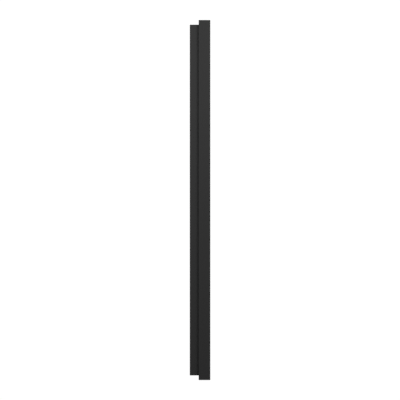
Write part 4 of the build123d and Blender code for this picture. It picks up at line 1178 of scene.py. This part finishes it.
@dataclass
class EmberBed(Assembly):
    """The glowing bed: chipped coals and crumbs over the lit tray.

    Attributes:
        seed: what the random draws grow from.
        rows: rows of coals from front to back.
        pitch: distance between coals in a row.
        size: the least and greatest radius of a coal.
        room: from their middles to the bed's ends, and to its front and back, in greatest radii.
        lift: the height of the coals' middles above the bed's foot, at the front and at the back.
        stray: how far a coal may leave its even place, sideways and up or down.
        crumbs: the number of crumbs.
        crumb: the least and greatest radius of a crumb.
        rise: the least and greatest height of the crumbs' middles at the front.
        bank: how much higher they lie at the back.
        margin: how far their middles stay from the bed's ends, and from its front and back.
        planes: the number of chips knocked off each coal or crumb.
        chips: the least and greatest distance of a chip's plane from the middle, in radii.
        reach: the least and greatest distance of a point from the middle, in radii.
        squash: the least and greatest stretch along each axis.
        hot: the mean and the standard deviation of each one's own heat.
        inset: how far every point stays inside the CAD bed.
        patches: hot patches a metre.
    """

    seed: int = 23
    rows: int = 4
    pitch: float = 0.0178
    size: Span = (0.0058, 0.0102)
    room: Span = (1.25, 1.0625)
    lift: Span = (0.0042, 0.0077)
    stray: Span = (0.005, 0.0012)
    crumbs: int = 520
    crumb: Span = (0.0020, 0.0042)
    rise: Span = (0.004, 0.0105)
    bank: float = 0.002
    margin: Span = (0.006, 0.004)
    planes: int = 13
    chips: Span = (0.68, 1.0)
    reach: Span = (0.55, 1.25)
    squash: tuple[Point, Point] = ((0.95, 0.85, 0.72), (1.35, 1.1, 0.95))
    hot: Span = (-0.25, 0.45)
    inset: float = 0.0002
    patches: float = 60.0
    wears = {EMBER_ACRYLIC: ["ember_tray"]}

    def __post_init__(self) -> None:
        """Takes the bed's corners from the CAD, and starts the random draws."""
        self.low, self.high = np.array(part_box("ember_bed"))
        self.rng = np.random.default_rng(self.seed)

    @staticmethod
    def ball(rings: int, sides: int) -> Surface:
        """A unit ball: the points (cos b cos a, cos b sin a, sin b) at even heights b and angles a.

        Args:
            rings: rings between its poles.
            sides: points around.

        Returns:
            The ball.
        """
        b = np.linspace(-np.pi / 2, np.pi / 2, rings + 2)[1:-1, None]
        a = around(sides)
        ball = Surface.tube(points_at(np.cos(b) * np.cos(a), np.cos(b) * np.sin(a), np.sin(b)))
        ball.points /= np.linalg.norm(ball.points, axis=1, keepdims=True)
        return ball

    def lumps(self, places: np.ndarray, radii: np.ndarray, ball: Surface) -> Surface:
        """Chipped lumps: in direction d each has radius min over its planes of a / max(n . d, 0.2).

        Args:
            places: the lumps' middles.
            radii: their radii.
            ball: the unit ball that each is cut from, turned at random.

        Returns:
            All the lumps as one surface, with their ash and their own heat as values.
        """
        rng = self.rng
        count, size = len(places), len(ball.points)
        turns = np.linalg.qr(rng.normal(size=(count, 3, 3)))[0]
        turns *= np.sign(np.linalg.det(turns))[:, None, None]
        ways = ball.points @ turns
        normals = rng.normal(size=(count, self.planes, 3))
        normals /= np.linalg.norm(normals, axis=2, keepdims=True)
        depth = rng.uniform(*self.chips, (count, self.planes))
        facing = np.einsum("npk,ndk->npd", normals, ways)
        reach = np.min(depth[:, :, None] / np.maximum(facing, 0.2), axis=1).clip(*self.reach)
        squash = rng.uniform(*self.squash, (count, 3))
        points = places[:, None] + radii[:, None, None] * reach[:, :, None] * ways * squash[:, None]
        starts = size * np.arange(count)[:, None, None]
        faces = [(group + starts).reshape(-1, group.shape[1]) for group in ball.faces]
        ash = np.repeat(rng.uniform(0.05, 1.0, count) ** 1.5, size)
        hot = np.repeat(np.clip(rng.normal(*self.hot, count), -0.2, 0.7), size)
        return Surface(points.reshape(-1, 3), faces, {"ash": ash, "ember_heat": hot})

    def coals(self) -> Surface:
        """Lays the coals in rows that rise towards the back.

        Returns:
            The coals.
        """
        margin = self.size[1] * np.array(self.room)
        start, end = self.low[:2] + margin, self.high[:2] - margin
        x = np.arange(start[0], end[0], self.pitch)
        y = np.linspace(start[1], end[1], self.rows)
        across, back = [grid.ravel() for grid in np.meshgrid(x, y)]
        radii = self.rng.uniform(*self.size, across.size)
        lift = np.interp(back, (self.low[1], self.high[1]), self.lift)
        lift += self.rng.uniform(-self.stray[1], self.stray[1], across.size)
        across += self.rng.uniform(-self.stray[0], self.stray[0], across.size)
        return self.lumps(points_at(across, back, self.low[2] + lift), radii, self.ball(5, 9))

    def small_coals(self) -> Surface:
        """Scatters the crumbs over the coals.

        Returns:
            The crumbs.
        """
        start, end = self.low[:2] + self.margin, self.high[:2] - self.margin
        across, back = self.rng.uniform(start, end, (self.crumbs, 2)).T
        rise = self.rng.uniform(*self.rise, self.crumbs)
        rise += np.interp(back, (self.low[1], self.high[1]), (0.0, self.bank))
        radii = self.rng.uniform(*self.crumb, self.crumbs)
        return self.lumps(points_at(across, back, self.low[2] + rise), radii, self.ball(2, 5))

    def build(self) -> None:
        """Piles the bed inside the CAD one, hottest in the hollows.

        At height h from nought to one, a lump's own heat changes by 1.25 - 1.5 h + 1.3 (noise - 0.5).
        """
        super().build()
        bed = Surface.joined([self.coals(), self.small_coals()])
        bed.points = np.clip(bed.points, self.low + self.inset, self.high - self.inset)
        height = (bed.points[:, 2] - self.low[2]) / (self.high[2] - self.low[2])
        patch = ValueNoise(2.0, 3)(bed.points * self.patches)
        heat = bed.values["ember_heat"] + 1.25 - 1.5 * height + 1.3 * (patch - 0.5)
        bed.values["ember_heat"] = np.clip(heat, 0.0, 1.0)
        made = bed.piece("ember_coals", Body.CHASSIS, Slot.EMBERS, self.paint.material(COALS), smooth=False)
        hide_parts("ember_bed")


@dataclass(frozen=True)
class Relief:
    """How finely a stick is divided and how rough it is; heights and depths are shares of its radius.

    Attributes:
        rings: rings along the bark.
        sides: points around.
        ridges: how many ridges of bark go around, roughly.
        depth: the bark's depth.
        lumps: the height of slow lumps.
        cells: cells of the bark's and of the lumps' noise a metre along.
        knots: the number of knots.
        knot: a knot's height.
        spread: a knot's half length, and its half width as an angle.
        twist: how far the grain turns from end to end.
        slants: the least and greatest slope of a sawn end.
        fade: how fast the slope dies away along the stick.
        bow: how far the stick bends.
        folds: the shares of the radius where rings divide a sawn end.
    """

    rings: int
    sides: int
    ridges: float
    depth: float
    lumps: float = 0.20
    cells: Span = (22.0, 20.0)
    knots: int = 4
    knot: float = 0.16
    spread: Span = (0.006, 0.42)
    twist: float = 0.9
    slants: Span = (0.25, 0.6)
    fade: float = 25.0
    bow: float = 0.12
    folds: tuple[float, ...] = (0.25, 0.5, 0.72, 0.9, 0.97)


def tapered(radius: float, taper: float, share: Any) -> Any:
    """A stick's radius at a share s of its length, r (1 - (1 - taper) s)."""
    return radius * (1.0 - (1.0 - taper) * share)


@dataclass(frozen=True)
class Stick:
    """One length of driftwood.

    Attributes:
        middle: its middle.
        way: the direction of its length.
        length: its length.
        radius: its radius at the thick end.
        taper: the thin end's share of that radius.
        seed: what makes its bark its own.
    """

    middle: Vector
    way: Vector
    length: float
    radius: float
    taper: float
    seed: float

    def surface(self, relief: Relief) -> Surface:
        """The stick as a bowed tube with bark, knots and slanting sawn ends.

        At share s along and angle a, the radius is thick (1.05 - depth + depth bark + lumps + knots), where
        bark = 1 - |2 n - 1| is ridged noise over (cos a, sin a, s) and lumps are slower noise. Each end
        folds in to its pith on a plane that slants by slope thick cos(a - a0).

        Args:
            relief: its divisions and roughness.

        Returns:
            The stick, with its bark's height, its end marks and the distance from the pith as values.
        """
        rng = np.random.default_rng(int(self.seed * 10) + 5)
        folds = np.array(relief.folds)
        along = np.concatenate([0.0 * folds, np.linspace(0.0, 1.0, relief.rings), 0.0 * folds + 1.0])
        share = np.concatenate([folds, np.ones(relief.rings), folds[::-1]])
        s, a = np.meshgrid(along, around(relief.sides), indexing="ij")
        fold = np.repeat(share[:, None], relief.sides, axis=1)
        x, y = np.cos(a + relief.twist * s), np.sin(a + relief.twist * s)
        z = s * self.length
        fine = relief.ridges / TURN
        ridged = ValueNoise(self.seed, 4)(points_at(x * fine, y * fine, z * relief.cells[0]))
        bark = 1.0 - np.abs(2.0 * ridged - 1.0)
        slow = ValueNoise(self.seed + 3.0, 2)(points_at(x * 0.8, y * 0.8, z * relief.cells[1]))
        shape = 1.05 - relief.depth + relief.depth * bark + relief.lumps * (slow - 0.55)
        long, wide = relief.spread
        places = rng.uniform(0.12, 0.88, relief.knots)
        for place, side in zip(places, rng.uniform(0.0, TURN, relief.knots)):
            gap = np.angle(np.exp(1j * (a - side)))
            shape += relief.knot * np.exp(-(((s - place) * self.length / long) ** 2) - (gap / wide) ** 2)
        thick = tapered(self.radius, self.taper, s)
        near = np.exp(-s * relief.fade), np.exp(-(1.0 - s) * relief.fade)
        ends = zip(near, rng.uniform(*relief.slants, 2), rng.uniform(0.0, TURN, 2))
        slant = sum(weight * slope * np.cos(a - facing) for weight, slope, facing in ends) * thick * fold
        side_x = self.way.orthogonal().normalized()
        side_y = self.way.cross(side_x)
        spoke = np.cos(a)[..., None] * np.array(side_x) + np.sin(a)[..., None] * np.array(side_y)
        bow = relief.bow * self.radius * (np.sin(np.pi * s) - 0.6) * rng.choice([-1.0, 1.0])
        reach = (s - 0.5) * (self.length - 0.8 * self.radius) + slant
        points = (
            np.array(self.middle)
            + reach[..., None] * np.array(self.way)
            + (thick * shape * fold)[..., None] * spoke
            + bow[..., None] * np.array(side_y)
        )
        return Surface.tube(points, bark=bark, sawn=(fold < 1.0).astype(float), pith=fold)


@dataclass
class LogSet(Assembly):
    """Five logs along the bed, each with a branch leaning on it.

    Attributes:
        count: the number of logs.
        log: a log's length and thick radius.
        branch: a branch's length and thick radius.
        tapers: the thin end's share of the radius, for a log and a branch.
        reliefs: the roughness of a log and a branch.
        seeds: what the first log's and the first branch's bark grow from.
        sink: how deep the logs lie in the bed.
        wander: how far a log leaves its even place, as a share of the room between logs.
        tilt: the greatest tilt of a log in degrees.
        lean: a branch's mean lean and how far it varies, in degrees.
        inward: how far a branch heads towards the back, as a share of its length.
        touch: where along its log a branch rests, as a share of the log's length.
        rest: the gap between a branch and its log.
    """

    count: int = 5
    log: Span = (0.250, 0.0095)
    branch: Span = (0.190, 0.0045)
    tapers: Span = (0.86, 0.70)
    reliefs: tuple[Relief, Relief] = (Relief(130, 72, 13.0, 0.30), Relief(100, 36, 8.0, 0.26))
    seeds: Span = (1.3, 9.1)
    sink: float = 0.004
    wander: float = 0.2
    tilt: float = 2.2
    lean: Span = (17.0, 4.0)
    inward: float = 0.04
    touch: float = 0.3
    rest: float = 0.0003

    def logs(self) -> list[Stick]:
        """Spaces the logs along the bed; sines put each a little off its even place and off the level.

        Returns:
            The logs from left to right.
        """
        (start, _, _), (end, _, top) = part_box("ember_bed")
        middle = (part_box("fire_logs")[0][1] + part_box("fire_logs")[1][1]) / 2
        length, radius = self.log
        pitch = (end - start) / self.count
        made = []
        for i in range(self.count):
            x = start + pitch * (i + 0.5) + self.wander * (pitch - length) * math.sin(2.1 * i)
            tilt = math.radians(self.tilt * math.sin(1.9 * i + 0.6))
            way = Vector((math.cos(tilt), 0.0, math.sin(tilt)))
            centre = Vector((x, middle, top + radius - self.sink))
            made.append(Stick(centre, way, length, radius, self.tapers[0], i + self.seeds[0]))
        return made

    def branches(self, logs: Sequence[Stick]) -> list[Stick]:
        """Rests a branch's side on each log, leaning up to the left and to the right in turn.

        Args:
            logs: the logs.

        Returns:
            One branch for each log.
        """
        length, radius = self.branch
        made = []
        for i, log in enumerate(logs):
            heading = 1.0 if i % 2 else -1.0
            lean = math.radians(self.lean[0] + self.lean[1] * math.sin(2.7 * i))
            way = Vector((heading * math.cos(lean), self.inward, math.sin(lean))).normalized()
            place = -self.touch * heading
            away = log.way.cross(way).normalized()
            away = -away if away.y > 0.0 else away
            thick = tapered(log.radius, log.taper, place + 0.5)
            thin = tapered(radius, self.tapers[1], 0.5 - self.touch)
            side = log.middle + log.way * place * log.length + away * (thick + thin + self.rest)
            centre = side + way * length * self.touch
            made.append(Stick(centre, way, length, radius, self.tapers[1], i + self.seeds[1]))
        return made

    def build(self) -> None:
        """Builds the logs and branches in place of their CAD nodes."""
        logs = self.logs()
        bark = self.paint.material(LOG_BARK)
        wood = Surface.joined([stick.surface(self.reliefs[0]) for stick in logs])
        made = wood.piece("driftwood_logs", Body.CHASSIS, Slot.LOGS, bark)
        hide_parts("fire_logs")
        bark = self.paint.material(BRANCH_BARK)
        wood = Surface.joined([stick.surface(self.reliefs[1]) for stick in self.branches(logs)])
        made = wood.piece("driftwood_branches", Body.CHASSIS, Slot.BRANCHES, bark)
        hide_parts("branches")


@dataclass(frozen=True)
class Lamp:
    """A soft square lamp.

    Attributes:
        name: its name.
        place: where it hangs.
        target: what it points at.
        size: the length of its side.
        power: its power.
        mirrored: whether glossy surfaces show it.
    """

    name: str
    place: Point
    target: Point
    size: float
    power: float
    mirrored: bool = True

    def build(self) -> None:
        """Hangs the lamp, out of the camera's sight."""
        light = bpy.data.lights.new(self.name, "AREA")
        light.shape = "SQUARE"
        light.size = self.size
        light.energy = self.power
        made = bpy.data.objects.new(self.name, light)
        made.location = self.place
        made.rotation_euler = (Vector(self.target) - Vector(self.place)).to_track_quat("-Z", "Y").to_euler()
        made.visible_camera = False
        made.visible_glossy = self.mirrored
        bpy.context.scene.collection.objects.link(made)


@dataclass
class Studio:
    """White floor, soft lamps, pale air and the camera straight above.

    Attributes:
        lens: the camera's focal length in millimetres.
        sensor: its sensor's width in millimetres.
        span: the width of the picture at the surround's top face.
        aim: the point in the picture's middle, in plan.
        far: how far the camera sees.
        floor: the floor's height.
        reach: half the floor's side.
        paper: the floor's least and greatest grey.
        speckles: speckles of grey a metre.
        white: the strength of its own light.
        show: how far the floor is its own light to the camera.
        air: the strength of the air's light.
        lamps: the lamps.
    """

    lens: float = 400.0
    sensor: float = 36.0
    span: float = 1.9182
    aim: Span = (0.00024, -0.0491)
    far: float = 200.0
    floor: float = -0.9
    reach: float = 60.0
    paper: Span = (0.80, 0.84)
    speckles: float = 3.0
    white: float = 1.125
    show: float = 0.85
    air: float = 0.22
    lamps: tuple[Lamp, ...] = (
        Lamp("key", (1.25, -0.5, 2.2), (0.1, -0.05, 0.0), 1.4, 46.0),
        Lamp("front", (-0.8, -3.0, 0.5), (0.0, -0.05, 0.0), 2.0, 30.0),
        Lamp("front_bounce", (0.5, -2.0, -0.8), (0.0, -0.05, 0.0), 1.6, 16.0, False),
        Lamp("back_bounce", (0.4, 2.0, -0.8), (0.0, 0.0, 0.0), 1.6, 34.0, False),
    )

    def camera(self) -> None:
        """Hangs the camera over the object, its long side up the picture and its front to the right."""
        data = bpy.data.cameras.new("camera")
        data.lens = self.lens
        data.sensor_width = self.sensor
        data.clip_end = self.far
        made = bpy.data.objects.new("camera", data)
        top = CAD_BOX[1][2]
        made.location = (*self.aim, top + self.span * self.lens / self.sensor)
        made.rotation_euler = (0.0, 0.0, -math.pi / 2)
        bpy.context.scene.collection.objects.link(made)
        bpy.context.scene.camera = made

    def ground(self) -> None:
        """Lays the floor: white to the eye, still shadowed by the object, and clear from below."""
        bench, material = Bench.material("studio_floor")
        speckle = bench.noise(bench.place(), self.speckles)
        paper = bench.surface(
            Base_Color=bench.blend(speckle, grey(self.paper[0]), grey(self.paper[1])),
            Roughness=speckle.between(0.85, 0.95),
            Specular_IOR_Level=0.0,
        )
        light = bench.node("ShaderNodeEmission", {}, {"Color": (*WHITE, 1.0), "Strength": self.white})
        top = bench.mixed(bench.seen() * self.show, paper, light)
        below = bench.node("ShaderNodeNewGeometry", {}, {}, "Backfacing")
        bench.finish(bench.mixed(below, top, bench.clear()))
        corners = self.reach * np.array([[-1.0, -1.0], [1.0, -1.0], [1.0, 1.0], [-1.0, 1.0]])
        sheet = Surface(points_at(*corners.T, self.floor), [np.array([[0, 1, 2, 3]])])
        made = sheet.mesh("studio_floor", material, smooth=False)

    def sky(self) -> None:
        """Fills the air with pale light that shows as white."""
        world = bpy.data.worlds.new("studio_air")
        world.use_nodes = True
        bench = Bench(world.node_tree, "ShaderNodeOutputWorld")
        strength = bench.seen().between(self.air, 1.0)
        bench.finish(bench.node("ShaderNodeBackground", {}, {"Color": (*WHITE, 1.0), "Strength": strength}))
        bpy.context.scene.world = world

    def build(self) -> None:
        """Sets up the camera, floor, air and lamps."""
        self.camera()
        self.ground()
        self.sky()
        for lamp in self.lamps:
            lamp.build()
        bpy.context.scene.view_settings.view_transform = "Standard"


def main() -> None:
    """Dresses the fireplace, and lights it."""
    logging.basicConfig(level=logging.INFO, format="%(message)s")
    paint = Paintbox()
    for assembly in (Casing, LightEngine, Heater, Electrics, ControlPanel, FlameScreen, EmberBed, LogSet):
        assembly(paint).build()
    Studio().build()


if __name__ == "__main__":
    main()
